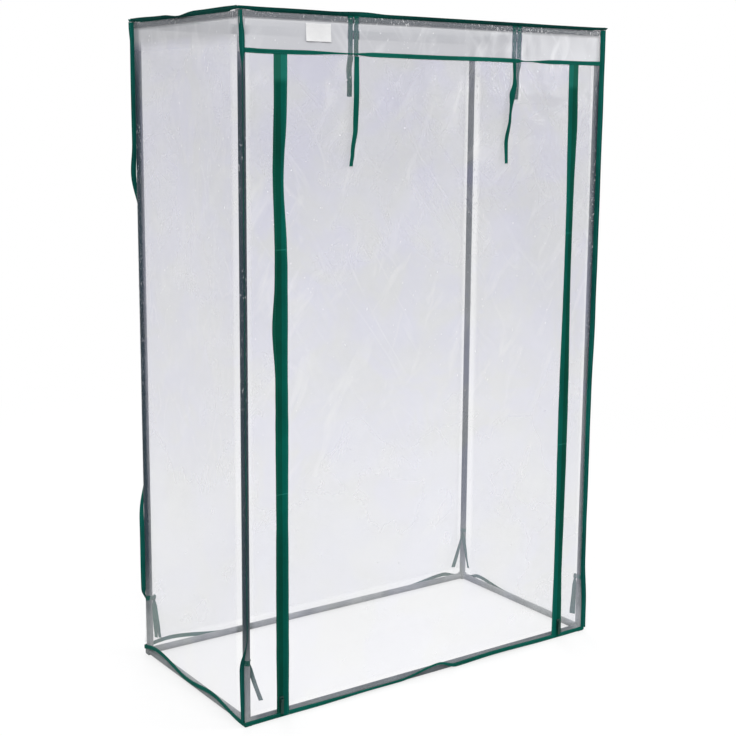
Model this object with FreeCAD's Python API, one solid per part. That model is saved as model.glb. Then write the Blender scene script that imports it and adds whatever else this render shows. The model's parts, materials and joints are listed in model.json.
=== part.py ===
"""Tomato greenhouse: a clear film cover with green bindings on a steel tube frame.

Millimetres, +Z up. The origin is on the floor under the middle of the frame, the
front with the door faces -Y, and left means -X.
"""

import FreeCAD
import Part

import os

V = FreeCAD.Vector

# Overall size of the cover, over its bindings
WIDTH = 1000.0
DEPTH = 500.0
HEIGHT = 1500.0

# Clear film and its edge bindings
FILM_THICK = 0.4
FIN_WIDTH = 8.0
FIN_THICK = 1.6
FIN_ROOT = 0.1
HEM_HEIGHT = 10.0
HEM_THICK = 0.8
HEM_LIFT = 2.0

# Steel tubes and moulded corner connectors
TUBE_DIAMETER = 16.0
TUBE_WALL = 0.8
CONNECTOR_SIDE = 17.0
CONNECTOR_FILLET = 1.0
SPIGOT_LENGTH = 30.0
SPIGOT_CHAMFER = 1.5
TUBE_FIT = 0.2
COVER_GAP = 0.3
POST_JOINT_HEIGHT = 750.0
SWAGE_LENGTH = 40.0
SWAGE_TAPER = 2.0

# Front: valance, zips and the door that gathers up in pleats
VALANCE_DROP = 85.0
VALANCE_BINDING_HEIGHT = 10.0
VALANCE_BINDING_THICK = 0.8
ZIP_INSET = 100.0
ZIP_WIDTH = 32.0
ZIP_GAP = 1.4
TAPE_THICK = 0.8
DOOR_BANDS = 7
BAND_GAP = 0.3

# Zip slider and its pull
SLIDER_REST = 24.0
SLIDER_LENGTH = 26.0
SLIDER_WIDTH = 10.4
SLIDER_PLATE = 2.4
SLIDER_BACK = 0.8
SLIDER_WEB = 0.8
SLIDER_CLEARANCE = 0.3
SLIDER_ROUND = 0.35
LUG_WIDTH = 1.4
LUG_HEIGHT = 4.0
LUG_GAP = 4.2
LUG_NOSE = 1.6
PULL_PIN_DIAMETER = 1.4
PULL_PIN_RISE = 19.0
PULL_PIN_REACH = 2.6
PULL_LENGTH = 32.0
PULL_WIDTH = 7.0
PULL_THICK = 1.4
PULL_EYE_DIAMETER = 4.0
PULL_NECK = 4.5
PULL_CLEARANCE = 0.3
PULL_TIP_ROUND = 2.0

# Ribbon ties
TIE_WIDTH = 14.0
TIE_THICK = 0.5
TIE_CLEARANCE = 0.3
OUTER_TIE_X = 216.0
OUTER_TIE_DROP = 245.0
OUTER_TIE_START = 2.5
TAIL_OVERHANG = 1.2
INNER_TIE_STEP = 14.5
INNER_TIE_DROP = 87.0
ROOT_THICK = 0.4
ROOT_GAP = 0.2

# Corner ties, knotted round the posts
CORNER_TIE_HEIGHT = 143.0
CORNER_TIE_WRAP = 0.4
CORNER_TIE_GAP = 0.2
CORNER_TIE_BAND = 12.0
KNOT_DIAMETER = 10.0
KNOT_REACH = 12.0
TAIL_LENGTH = 100.0
TAIL_WIDTH = 10.0
TAIL_THICK = 0.8
TAIL_SPLAY = 9.0

# Blank sewn label on the valance
LABEL_WIDTH = 60.0
LABEL_HEIGHT = 36.0
LABEL_THICK = 0.4
LABEL_GAP = 0.1
LABEL_FROM_LEFT = 190.0
LABEL_BELOW_TOP = 45.0

# Planes and heights worked out from the sizes above
FIN_REACH = (FIN_WIDTH + FIN_THICK / 2) / 2**0.5
FILM_X = WIDTH / 2 - FIN_REACH
FILM_Y = DEPTH / 2 - FIN_REACH
FILM_TOP = HEIGHT - FIN_REACH
INNER_X = FILM_X - FILM_THICK
INNER_Y = FILM_Y - FILM_THICK
WALL_TOP = FILM_TOP - FILM_THICK
WALL_BOTTOM = HEM_LIFT + HEM_HEIGHT
TUBE_RADIUS = TUBE_DIAMETER / 2
BORE_RADIUS = TUBE_RADIUS - TUBE_WALL
SPIGOT_RADIUS = BORE_RADIUS - TUBE_FIT
HALF_SIDE = CONNECTOR_SIDE / 2
POST_X = INNER_X - COVER_GAP - HALF_SIDE
POST_Y = INNER_Y - COVER_GAP - HALF_SIDE
RAIL_LOW = HALF_SIDE
RAIL_HIGH = WALL_TOP - COVER_GAP - HALF_SIDE

FRONT_MID = -(FILM_Y - FILM_THICK / 2)
TAPE_FRONT = FRONT_MID - TAPE_THICK / 2
TAPE_BACK = FRONT_MID + TAPE_THICK / 2
HEADER_TOP = HEIGHT - VALANCE_DROP + VALANCE_BINDING_HEIGHT / 2
HEADER_BOTTOM = HEADER_TOP - VALANCE_BINDING_HEIGHT
ZIP_X = WIDTH / 2 - ZIP_INSET
TAPE_OUTER = ZIP_X + ZIP_WIDTH / 2
TAPE_INNER = ZIP_X - ZIP_WIDTH / 2
DOOR_TOP = HEADER_BOTTOM - BAND_GAP
BAND_LENGTH = (DOOR_TOP - HEM_LIFT) / DOOR_BANDS

TIE_BACK = -FILM_Y - TIE_CLEARANCE
TIE_FRONT = TIE_BACK - TIE_THICK
TIE_FOLD = DOOR_TOP - BAND_LENGTH - TAIL_OVERHANG
ROOT_FRONT = -INNER_Y + ROOT_GAP
ROOT_BACK = ROOT_FRONT + ROOT_THICK
OUTER_TIES = {"left": -OUTER_TIE_X, "right": OUTER_TIE_X}

SLIDER_FRONT = TAPE_FRONT - SLIDER_CLEARANCE - SLIDER_PLATE
PULL_PIN_Y = SLIDER_FRONT - PULL_PIN_REACH
PULL_PIN_Z = SLIDER_REST + PULL_PIN_RISE

SIDES = {"left": -1, "right": 1}
ENDS = {"front": -1, "back": 1}
CORNERS = {f"{end}_{side}": (SIDES[side], ENDS[end]) for end in ENDS for side in SIDES}


def box(x, y, z):
    """A box between two bounds on each axis, given in either order."""
    low = V(min(x), min(y), min(z))
    return Part.makeBox(max(x) - low.x, max(y) - low.y, max(z) - low.z, low)


def tube(start, direction, length):
    """A plain length of frame tube from a point along a direction."""
    outer = Part.makeCylinder(TUBE_RADIUS, length, start, direction)
    bore = Part.makeCylinder(BORE_RADIUS, length, start, direction)
    return outer.cut(bore).Solids[0]


def one_solid(shape):
    """The single solid of a fused shape, with its seams merged."""
    return shape.removeSplitter().Solids[0]


def lower_post(x, y):
    """Lower half of a post, its top end swaged down to plug into the upper half."""
    swage_top = POST_JOINT_HEIGHT + SWAGE_LENGTH
    swage_base = POST_JOINT_HEIGHT - SWAGE_TAPER
    profile = [
        V(BORE_RADIUS, 0, CONNECTOR_SIDE),
        V(TUBE_RADIUS, 0, CONNECTOR_SIDE),
        V(TUBE_RADIUS, 0, swage_base),
        V(SPIGOT_RADIUS, 0, POST_JOINT_HEIGHT),
        V(SPIGOT_RADIUS, 0, swage_top),
        V(SPIGOT_RADIUS - TUBE_WALL, 0, swage_top),
        V(SPIGOT_RADIUS - TUBE_WALL, 0, POST_JOINT_HEIGHT),
        V(BORE_RADIUS, 0, swage_base),
    ]
    face = Part.Face(Part.makePolygon(profile + profile[:1]))
    post = face.revolve(V(0, 0, 0), V(0, 0, 1), 360).Solids[0]
    post.translate(V(x, y, 0))
    return post


def upper_post(x, y):
    """Upper half of a post, from the joint to the top corner connector."""
    top = RAIL_HIGH - HALF_SIDE
    return tube(V(x, y, POST_JOINT_HEIGHT), V(0, 0, 1), top - POST_JOINT_HEIGHT)


def connector(sx, sy, sz):
    """Moulded three-way corner: a rounded block with a spigot for each tube."""
    middle = V(sx * POST_X, sy * POST_Y, RAIL_HIGH if sz > 0 else RAIL_LOW)
    corner = middle - V(HALF_SIDE, HALF_SIDE, HALF_SIDE)
    block = Part.makeBox(CONNECTOR_SIDE, CONNECTOR_SIDE, CONNECTOR_SIDE, corner)
    block = block.makeFillet(CONNECTOR_FILLET, block.Edges)
    for direction in (V(-sx, 0, 0), V(0, -sy, 0), V(0, 0, -sz)):
        reach = HALF_SIDE + SPIGOT_LENGTH
        straight = Part.makeCylinder(SPIGOT_RADIUS, reach - SPIGOT_CHAMFER, middle, direction)
        nose = Part.makeCone(
            SPIGOT_RADIUS,
            SPIGOT_RADIUS - SPIGOT_CHAMFER,
            SPIGOT_CHAMFER,
            middle + direction * (reach - SPIGOT_CHAMFER),
            direction,
        )
        block = block.fuse([straight, nose])
    return one_solid(block)


def frame_nodes():
    """Posts, rails and corner connectors of the tube frame."""
    nodes = {}
    for name, (sx, sy) in CORNERS.items():
        nodes[f"post_lower_{name}"] = [lower_post(sx * POST_X, sy * POST_Y)]
        nodes[f"post_upper_{name}"] = [upper_post(sx * POST_X, sy * POST_Y)]
    long_rail = 2 * (POST_X - HALF_SIDE)
    short_rail = 2 * (POST_Y - HALF_SIDE)
    for level, z in (("top", RAIL_HIGH), ("bottom", RAIL_LOW)):
        for end, sy in ENDS.items():
            start = V(-long_rail / 2, sy * POST_Y, z)
            nodes[f"{level}_rail_{end}"] = [tube(start, V(1, 0, 0), long_rail)]
        for side, sx in SIDES.items():
            start = V(sx * POST_X, -short_rail / 2, z)
            nodes[f"{level}_rail_{side}"] = [tube(start, V(0, 1, 0), short_rail)]
    for level, sz in (("top", 1), ("bottom", -1)):
        solids = [connector(sx, sy, sz) for sx, sy in CORNERS.values()]
        nodes[f"{level}_corner_connectors"] = solids
    return nodes


def film_nodes():
    """Flat film panels of the cover, without the door."""
    front = (-FILM_Y, -INNER_Y)
    nodes = {
        "roof_film": [box((-FILM_X, FILM_X), (-FILM_Y, FILM_Y), (WALL_TOP, FILM_TOP))],
        "back_film": [box((-FILM_X, FILM_X), (INNER_Y, FILM_Y), (WALL_BOTTOM, WALL_TOP))],
        "valance_film": [box((-FILM_X, FILM_X), front, (HEADER_BOTTOM, WALL_TOP))],
    }
    for side, sx in SIDES.items():
        wall = (sx * INNER_X, sx * FILM_X)
        nodes[f"{side}_film"] = [box(wall, (-INNER_Y, INNER_Y), (WALL_BOTTOM, WALL_TOP))]
        strip = (sx * TAPE_OUTER, sx * FILM_X)
        nodes[f"front_{side}_film"] = [box(strip, front, (WALL_BOTTOM, HEADER_BOTTOM))]
    return nodes


def fin(corner, out, along):
    """Binding folded over two film edges, standing out from the seam at 45 degrees."""
    out.normalize()
    half = along.cross(out).normalize() * (FIN_THICK / 2)
    root, tip = corner + out * FIN_ROOT, corner + out * FIN_WIDTH
    outline = [root - half, tip - half, tip + half, root + half, root - half]
    return Part.Face(Part.makePolygon(outline)).extrude(along)


def binding_nodes():
    """Bindings sewn along the cover's seams and edges, and the blank label."""
    tall = FILM_TOP - FIN_THICK - WALL_BOTTOM
    corner = []
    for sx, sy in CORNERS.values():
        foot = V(sx * FILM_X, sy * FILM_Y, WALL_BOTTOM)
        corner.append(fin(foot, V(sx, sy, 0), V(0, 0, tall)))
    top = []
    for sy in ENDS.values():
        start = V(-WIDTH / 2, sy * FILM_Y, FILM_TOP)
        top.append(fin(start, V(0, sy, 1), V(WIDTH, 0, 0)))
    short = FILM_Y - FIN_THICK
    for sx in SIDES.values():
        start = V(sx * FILM_X, -short, FILM_TOP)
        top.append(fin(start, V(sx, 0, 1), V(0, 2 * short, 0)))
    hem_z = (HEM_LIFT, WALL_BOTTOM)
    side_mid, back_mid = FILM_X - FILM_THICK / 2, FILM_Y - FILM_THICK / 2
    hem_side = (side_mid - HEM_THICK / 2, side_mid + HEM_THICK / 2)
    hem_end = (back_mid - HEM_THICK / 2, back_mid + HEM_THICK / 2)
    hem = [box((-hem_side[0], hem_side[0]), hem_end, hem_z)]
    for sx in SIDES.values():
        hem.append(box([sx * x for x in hem_side], (-hem_end[1], hem_end[1]), hem_z))
        stub = (sx * TAPE_OUTER, sx * hem_side[0])
        hem.append(box(stub, [-y for y in hem_end], hem_z))
    header_x = FILM_X - FIN_THICK
    header_y = (-FILM_Y, -FILM_Y - VALANCE_BINDING_THICK)
    header = box((-header_x, header_x), header_y, (HEADER_BOTTOM, HEADER_TOP))
    label_x = LABEL_FROM_LEFT - WIDTH / 2
    label_z = HEIGHT - LABEL_BELOW_TOP
    label_back = -FILM_Y - LABEL_GAP
    label = box(
        (label_x - LABEL_WIDTH / 2, label_x + LABEL_WIDTH / 2),
        (label_back, label_back - LABEL_THICK),
        (label_z - LABEL_HEIGHT / 2, label_z + LABEL_HEIGHT / 2),
    )
    return {
        "corner_binding": corner,
        "top_edge_binding": top,
        "hem_binding": hem,
        "valance_binding": [header],
        "blank_label": [label],
    }


def zip_slider(sx):
    """Slider that grips the fixed half of a zip, with lugs and a pin for its pull."""
    z = (SLIDER_REST, SLIDER_REST + SLIDER_LENGTH)
    inner = ZIP_X - SLIDER_WEB / 2
    across = (sx * inner, sx * (inner + SLIDER_WIDTH))
    front_face = TAPE_FRONT - SLIDER_CLEARANCE
    back_face = TAPE_BACK + SLIDER_CLEARANCE
    plate = box(across, (front_face, SLIDER_FRONT), z)
    plate = plate.makeFillet(SLIDER_ROUND, plate.Edges)
    back = box(across, (back_face, back_face + SLIDER_BACK), z)
    web_y = (front_face - SLIDER_PLATE / 2, back_face + SLIDER_BACK / 2)
    web_z = (SLIDER_REST + SLIDER_ROUND, SLIDER_REST + SLIDER_LENGTH - SLIDER_ROUND)
    web = box((sx * inner, sx * (inner + SLIDER_WEB)), web_y, web_z)
    middle = sx * (inner + SLIDER_WIDTH / 2)
    lugs = []
    for end in (-1, 1):
        near = middle + end * LUG_GAP / 2
        lugs.append(
            box(
                (near, near + end * LUG_WIDTH),
                (SLIDER_FRONT + SLIDER_ROUND, PULL_PIN_Y - LUG_NOSE),
                (PULL_PIN_Z - LUG_HEIGHT / 2, PULL_PIN_Z + LUG_HEIGHT / 2),
            )
        )
    pin_start = V(middle - LUG_GAP / 2 - LUG_WIDTH / 2, PULL_PIN_Y, PULL_PIN_Z)
    pin = Part.makeCylinder(PULL_PIN_DIAMETER / 2, LUG_GAP + LUG_WIDTH, pin_start, V(1, 0, 0))
    return one_solid(plate.fuse([back, web, pin] + lugs))


def zip_pull(sx):
    """Pull tab with an eye on the slider's pin."""
    middle = sx * (ZIP_X - SLIDER_WEB / 2 + SLIDER_WIDTH / 2)
    eye_width = LUG_GAP - 2 * PULL_CLEARANCE
    start = V(middle - eye_width / 2, PULL_PIN_Y, PULL_PIN_Z)
    eye = Part.makeCylinder(PULL_EYE_DIAMETER / 2, eye_width, start, V(1, 0, 0))
    thick = (PULL_PIN_Y - PULL_THICK / 2, PULL_PIN_Y + PULL_THICK / 2)
    neck = box(
        (start.x, start.x + eye_width),
        thick,
        (PULL_PIN_Z - PULL_NECK - PULL_TIP_ROUND, PULL_PIN_Z),
    )
    tab = box(
        (middle - PULL_WIDTH / 2, middle + PULL_WIDTH / 2),
        thick,
        (PULL_PIN_Z - PULL_LENGTH, PULL_PIN_Z - PULL_NECK),
    )
    edges = [e for e in tab.Edges if abs(e.tangentAt(e.FirstParameter).y) > 0.9]
    tab = tab.makeFillet(PULL_TIP_ROUND, edges)
    hole_radius = PULL_PIN_DIAMETER / 2 + PULL_CLEARANCE
    hole = Part.makeCylinder(hole_radius, eye_width, start, V(1, 0, 0))
    return one_solid(eye.fuse([neck, tab]).cut(hole))


def zip_nodes():
    """Fixed zip halves on the front panels, their sliders and pulls."""
    nodes = {}
    for side, sx in SIDES.items():
        fixed = (sx * (ZIP_X + ZIP_GAP / 2), sx * TAPE_OUTER)
        tape = box(fixed, (TAPE_FRONT, TAPE_BACK), (HEM_LIFT, HEADER_BOTTOM))
        nodes[f"zip_tape_{side}"] = [tape]
        nodes[f"zip_slider_{side}"] = [zip_slider(sx)]
        nodes[f"zip_pull_{side}"] = [zip_pull(sx)]
    return nodes


def door_nodes():
    """Door film in bands that pleat, each with its zip half on both edges."""
    nodes = {}
    for band in range(DOOR_BANDS):
        last = band == DOOR_BANDS - 1
        top = DOOR_TOP - band * BAND_LENGTH - BAND_GAP / 2
        bottom = HEM_LIFT if last else DOOR_TOP - (band + 1) * BAND_LENGTH + BAND_GAP / 2
        film_bottom = WALL_BOTTOM if last else bottom
        film = box((-TAPE_INNER, TAPE_INNER), (-FILM_Y, -INNER_Y), (film_bottom, top))
        edges = []
        for sx in SIDES.values():
            across = (sx * TAPE_INNER, sx * (ZIP_X - ZIP_GAP / 2))
            edges.append(box(across, (TAPE_FRONT, TAPE_BACK), (bottom, top)))
        nodes[f"door_film_{band + 1}"] = [film]
        nodes[f"door_zip_edge_{band + 1}"] = edges
    hem_y = (FRONT_MID - HEM_THICK / 2, FRONT_MID + HEM_THICK / 2)
    nodes["door_hem"] = [box((-TAPE_INNER, TAPE_INNER), hem_y, (HEM_LIFT, WALL_BOTTOM))]
    return nodes


def ribbon(x, y, z):
    """A flat length of tie ribbon centred on x."""
    return box((x - TIE_WIDTH / 2, x + TIE_WIDTH / 2), y, z)


def inner_tie_x(side):
    """Where the inner tie of a side hangs, just outboard of the outer one."""
    return OUTER_TIES[side] + SIDES[side] * INNER_TIE_STEP


def door_tie_nodes():
    """Ribbon ties that hold the gathered door, hung from the top edge."""
    front_y, root_y = (TIE_FRONT, TIE_BACK), (ROOT_FRONT, ROOT_BACK)
    root_z = (HEADER_BOTTOM, WALL_TOP - COVER_GAP)
    header_line = HEIGHT - VALANCE_DROP
    nodes = {"tie_roots": []}
    for side, x in OUTER_TIES.items():
        nodes["tie_roots"].append(ribbon(x, root_y, root_z))
        nodes["tie_roots"].append(ribbon(inner_tie_x(side), root_y, root_z))
        upper_z = (DOOR_TOP - OUTER_TIE_START, TIE_FOLD + BAND_GAP / 2)
        nodes[f"outer_tie_{side}"] = [ribbon(x, front_y, upper_z)]
        tail_z = (TIE_FOLD - BAND_GAP / 2, header_line - OUTER_TIE_DROP)
        nodes[f"outer_tie_tail_{side}"] = [ribbon(x, front_y, tail_z)]
        inner_z = (HEADER_BOTTOM - BAND_GAP, header_line - INNER_TIE_DROP)
        nodes[f"inner_tie_{side}"] = [ribbon(inner_tie_x(side), root_y, inner_z)]
    return nodes


def corner_tie(sx, sy):
    """Ribbon wrapped round a post, knotted on its inner side, with two hanging tails."""
    axis = V(sx * POST_X, sy * POST_Y, CORNER_TIE_HEIGHT - CORNER_TIE_BAND / 2)
    wrap_radius = TUBE_RADIUS + CORNER_TIE_GAP
    wrap = Part.makeCylinder(wrap_radius + CORNER_TIE_WRAP, CORNER_TIE_BAND, axis)
    inward = V(-sx, -sy, 0).normalize()
    post = V(sx * POST_X, sy * POST_Y, CORNER_TIE_HEIGHT)
    knot_middle = post + inward * KNOT_REACH
    knot = Part.makeSphere(KNOT_DIAMETER / 2, knot_middle)
    tie = wrap.fuse(knot)
    for turn in (-1, 1):
        tail = Part.makeBox(
            TAIL_THICK, TAIL_WIDTH, TAIL_LENGTH, V(-TAIL_THICK / 2, -TAIL_WIDTH / 2, -TAIL_LENGTH)
        )
        tail.rotate(V(0, 0, 0), V(1, 0, 0), turn * TAIL_SPLAY)
        swing = FreeCAD.Rotation(V(1, 0, 0), inward)
        tail.Placement = FreeCAD.Placement(knot_middle, swing).multiply(tail.Placement)
        tie = tie.fuse(tail)
    bore_length = CORNER_TIE_BAND + KNOT_DIAMETER
    bore = Part.makeCylinder(wrap_radius, bore_length, axis - V(0, 0, KNOT_DIAMETER / 2))
    return one_solid(tie.cut(bore))


def corner_tie_nodes():
    """Ties that hold the cover to the four posts near the floor."""
    return {"corner_ties": [corner_tie(sx, sy) for sx, sy in CORNERS.values()]}


def export(nodes):
    """Write each node's solids to its own STEP file."""
    os.makedirs("parts", exist_ok=True)
    for name, solids in nodes.items():
        shape = solids[0] if len(solids) == 1 else Part.makeCompound(solids)
        shape.exportStep(f"parts/{name}.step")


NODES = {}
for group in (
    frame_nodes,
    film_nodes,
    binding_nodes,
    zip_nodes,
    door_nodes,
    door_tie_nodes,
    corner_tie_nodes,
):
    NODES.update(group())
export(NODES)
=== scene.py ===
"""Dressed tomato greenhouse: clear film, green bindings, zips, ribbon ties and tube frame."""

import json
import logging
import math
from collections.abc import Callable, Sequence
from dataclasses import dataclass, field
from enum import Enum
from functools import cache, reduce

import bmesh
import bpy
from mathutils import Matrix, Quaternion, Vector, noise


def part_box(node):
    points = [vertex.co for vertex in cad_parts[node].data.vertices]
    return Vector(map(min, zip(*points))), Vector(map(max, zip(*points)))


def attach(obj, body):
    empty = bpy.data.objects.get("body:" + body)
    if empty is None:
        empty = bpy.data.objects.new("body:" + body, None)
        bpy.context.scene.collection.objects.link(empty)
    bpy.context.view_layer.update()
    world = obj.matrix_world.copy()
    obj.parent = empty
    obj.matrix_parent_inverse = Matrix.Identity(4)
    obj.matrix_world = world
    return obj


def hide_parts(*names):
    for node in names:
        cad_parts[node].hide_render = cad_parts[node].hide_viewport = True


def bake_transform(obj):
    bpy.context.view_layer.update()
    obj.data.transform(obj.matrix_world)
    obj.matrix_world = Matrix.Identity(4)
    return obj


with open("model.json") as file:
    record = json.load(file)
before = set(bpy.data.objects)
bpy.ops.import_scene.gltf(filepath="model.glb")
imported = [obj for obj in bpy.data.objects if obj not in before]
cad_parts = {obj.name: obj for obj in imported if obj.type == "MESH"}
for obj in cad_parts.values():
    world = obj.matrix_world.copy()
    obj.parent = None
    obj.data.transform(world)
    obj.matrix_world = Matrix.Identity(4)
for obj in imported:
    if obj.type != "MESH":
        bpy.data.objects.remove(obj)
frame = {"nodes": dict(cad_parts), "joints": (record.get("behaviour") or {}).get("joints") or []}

Span = tuple[float, float]
Triple = tuple[float, float, float]
Four = tuple[float, float, float, float]
Keys = tuple[Span, ...]
# Gives a point of a sheet for shares along and across it.
Place = Callable[[float, float], Vector]
Socket = bpy.types.NodeSocket
Piece = bpy.types.Object

log = logging.getLogger("greenhouse")
COVER = "frame_and_cover"
FRONT = Vector((0, -1, 0))
UP = Vector((0, 0, 1))
CORNERS = ((-1, -1), (1, -1), (-1, 1), (1, 1))
STRAIGHT: Keys = ((0.0, 0.0), (1.0, 0.0))
# Distances from a corner of the frame over which film and bindings come to lie against the tube.
HUG: Span = (0.02, 0.045)
# How far up a panel the lifts of its bottom edge are felt.
LIFT_REACH = 0.16
TAPE_CELL = 0.01
HEM_THICK = 0.0009
HEM_PROUD = 0.0005
TAPE_THICK = 0.0008


class Side(Enum):
    """Left or right of the door, as a sign along X."""

    LEFT = -1
    RIGHT = 1

    @property
    def label(self) -> str:
        """The side's word in node names."""
        return self.name.lower()


class Slot(str, Enum):
    """The record's material slots, handed to the new pieces."""

    FILM = "clear_film"
    BINDING = "green_binding"
    TAPE = "zip_tape"
    RIBBON = "tie_ribbon"
    LABEL = "label_cloth"


def smooth(value: float, low: float, high: float) -> float:
    """Smoothstep of a value between two limits.

    Args:
        value: what to judge.
        low: where the step is 0.
        high: where the step is 1.

    Returns:
        A share from 0 to 1.
    """
    t = min(1.0, max(0.0, (value - low) / (high - low)))
    return t * t * (3 - 2 * t)


def swell(value: float, start: float, peak: float, end: float) -> float:
    """Smooth hump that is 0 outside two limits."""
    return smooth(value, start, peak) if value < peak else 1 - smooth(value, peak, end)


def trace(keys: Keys, value: float) -> float:
    """Follow a curve that is eased between points.

    Args:
        keys: the points, in rising order.
        value: where on the curve.

    Returns:
        The curve's height there.
    """
    for (a, low), (b, high) in zip(keys, keys[1:]):
        if value <= b:
            return low + (high - low) * smooth(value, a, b)
    return keys[-1][1]


def wobble(x: float, y: float = 0.0, z: float = 0.0) -> float:
    """Repeatable noise from about -1 to 1 at a point."""
    return noise.noise(Vector((x, y, z)))


def crown(v: float) -> float:
    """How far a tape stands proud of its edges, at a share across it."""
    return 0.0004 * math.cos(math.pi * (v - 0.5))


def middle(node: str) -> Triple:
    """Middle of a CAD piece's box."""
    return tuple((a + b) / 2 for a, b in zip(*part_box(node)))


def pivot(joint: str) -> Sequence[float]:
    """Where a joint of the frame turns."""
    return next(j["pos_m"] for j in frame["joints"] if j["name"] == joint)


class Graph:
    """Node tree of a material or of the world, with short calls to add and join its nodes."""

    def __init__(self, owner: bpy.types.Material | bpy.types.World, rest: bool = False) -> None:
        """Start from the owner's surface node.

        Args:
            owner: what the nodes belong to.
            rest: whether textures follow the mesh's "rest" attribute, so that they stay put when it bends.
        """
        owner.use_nodes = True
        self.owner = owner
        self.tree = owner.node_tree
        self.surface = next(n for n in self.tree.nodes if n.type in ("BSDF_PRINCIPLED", "BACKGROUND"))
        self.coords = self.add("TexCoord").outputs
        self.place = self.coords["Object"]
        if rest:
            node = self.add("Attribute")
            node.attribute_name = "rest"
            self.place = node.outputs["Vector"]
        self.x, self.y, self.z = self.axes(self.place)

    def add(self, kind: str) -> bpy.types.Node:
        """Add a node, by its type without the leading ShaderNode."""
        return self.tree.nodes.new(f"ShaderNode{kind}")

    def set(self, **values: float | Triple) -> None:
        """Set constants on the surface.

        Args:
            values: the constants, named by socket with underscores for spaces.
        """
        for key, value in values.items():
            socket = self.surface.inputs[key.replace("_", " ")]
            socket.default_value = (*value, 1.0) if isinstance(value, tuple) else value

    def feed(self, key: str, source: Socket) -> None:
        """Join a node's output to a socket of the surface."""
        self.tree.links.new(source, self.surface.inputs[key])

    def put(self, socket: Socket, value: object) -> None:
        """Give an input its value.

        Args:
            socket: the input.
            value: a constant, or another node's output to join to it.
        """
        if isinstance(value, Socket):
            self.tree.links.new(value, socket)
        else:
            socket.default_value = value

    def noise(self, scale: float, detail: float = 3.0, stretch: Triple = (1, 1, 1), warp: float = 0.0,
              turn: float = 0.0) -> Socket:
        """Noise over the piece.

        Args:
            scale: waves per metre, roughly.
            detail: octaves.
            stretch: scale along each axis.
            warp: distortion.
            turn: how far the noise leans about Y, in radians.

        Returns:
            The noise's factor.
        """
        lean, mapping, node = (self.add(kind) for kind in ("VectorRotate", "Mapping", "TexNoise"))
        lean.rotation_type = "Y_AXIS"
        self.put(lean.inputs["Vector"], self.place)
        self.put(lean.inputs["Angle"], turn)
        self.put(mapping.inputs["Vector"], lean.outputs["Vector"])
        self.put(mapping.inputs["Scale"], stretch)
        self.put(node.inputs["Vector"], mapping.outputs["Vector"])
        for key, value in (("Scale", scale), ("Detail", detail), ("Distortion", warp)):
            self.put(node.inputs[key], value)
        return node.outputs["Fac"]

    def math(self, kind: str, a: object, b: object = 0.0) -> Socket:
        """One sum.

        Args:
            kind: Blender's name for it.
            a: first constant or socket.
            b: second one, where the sum takes two.

        Returns:
            The sum's result.
        """
        node = self.add("Math")
        node.operation = kind
        self.put(node.inputs[0], a)
        self.put(node.inputs[1], b)
        return node.outputs[0]

    def times(self, *factors: object) -> Socket:
        """Product of several inputs."""
        return reduce(lambda a, b: self.math("MULTIPLY", a, b), factors)

    def most(self, *values: object) -> Socket:
        """Greatest of several inputs."""
        return reduce(lambda a, b: self.math("MAXIMUM", a, b), values)

    def apart(self, a: object, b: object = 0.0) -> Socket:
        """Distance between two values."""
        return self.math("ABSOLUTE", self.math("SUBTRACT", a, b))

    def span(self, source: object, low: float, high: float, to_low: float = 0.0,
             to_high: float = 1.0) -> Socket:
        """Map one range onto another, held at its ends.

        Args:
            source: what to map.
            low: start of its range.
            high: end of its range.
            to_low: result at the start.
            to_high: result at the end.

        Returns:
            The mapped value.
        """
        node = self.add("MapRange")
        for index, value in enumerate((source, low, high, to_low, to_high)):
            self.put(node.inputs[index], value)
        return node.outputs[0]

    def mix(self, share: object, a: object, b: object) -> Socket:
        """Blend two colours.

        Args:
            share: how much of the second shows.
            a: first colour or socket.
            b: second colour or socket.

        Returns:
            The blended colour.
        """
        node = self.add("Mix")
        node.data_type = "RGBA"
        self.put(node.inputs["Factor"], share)
        for key, value in (("A", a), ("B", b)):
            socket = next(s for s in node.inputs if s.name == key and s.type == "RGBA")
            self.put(socket, (*value, 1.0) if isinstance(value, tuple) else value)
        return next(s for s in node.outputs if s.type == "RGBA")

    def axes(self, source: Socket) -> tuple[Socket, ...]:
        """Take a vector apart.

        Args:
            source: the vector.

        Returns:
            Its three coordinates.
        """
        node = self.add("SeparateXYZ")
        self.put(node.inputs[0], source)
        return tuple(node.outputs)

    def bump(self, height: Socket, strength: float, distance: float) -> None:
        """Roughen the surface.

        Args:
            height: pattern of the roughness.
            strength: how much of it shows.
            distance: its depth in metres.
        """
        node = self.add("Bump")
        for key, value in (("Height", height), ("Strength", strength), ("Distance", distance)):
            self.put(node.inputs[key], value)
        self.feed("Normal", node.outputs["Normal"])

    def seen(self) -> Socket:
        """1 where the picture, gloss or glass looks at a surface."""
        path = self.add("LightPath").outputs
        return self.most(*(path[f"Is {kind} Ray"] for kind in ("Camera", "Glossy", "Transmission")))


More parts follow.
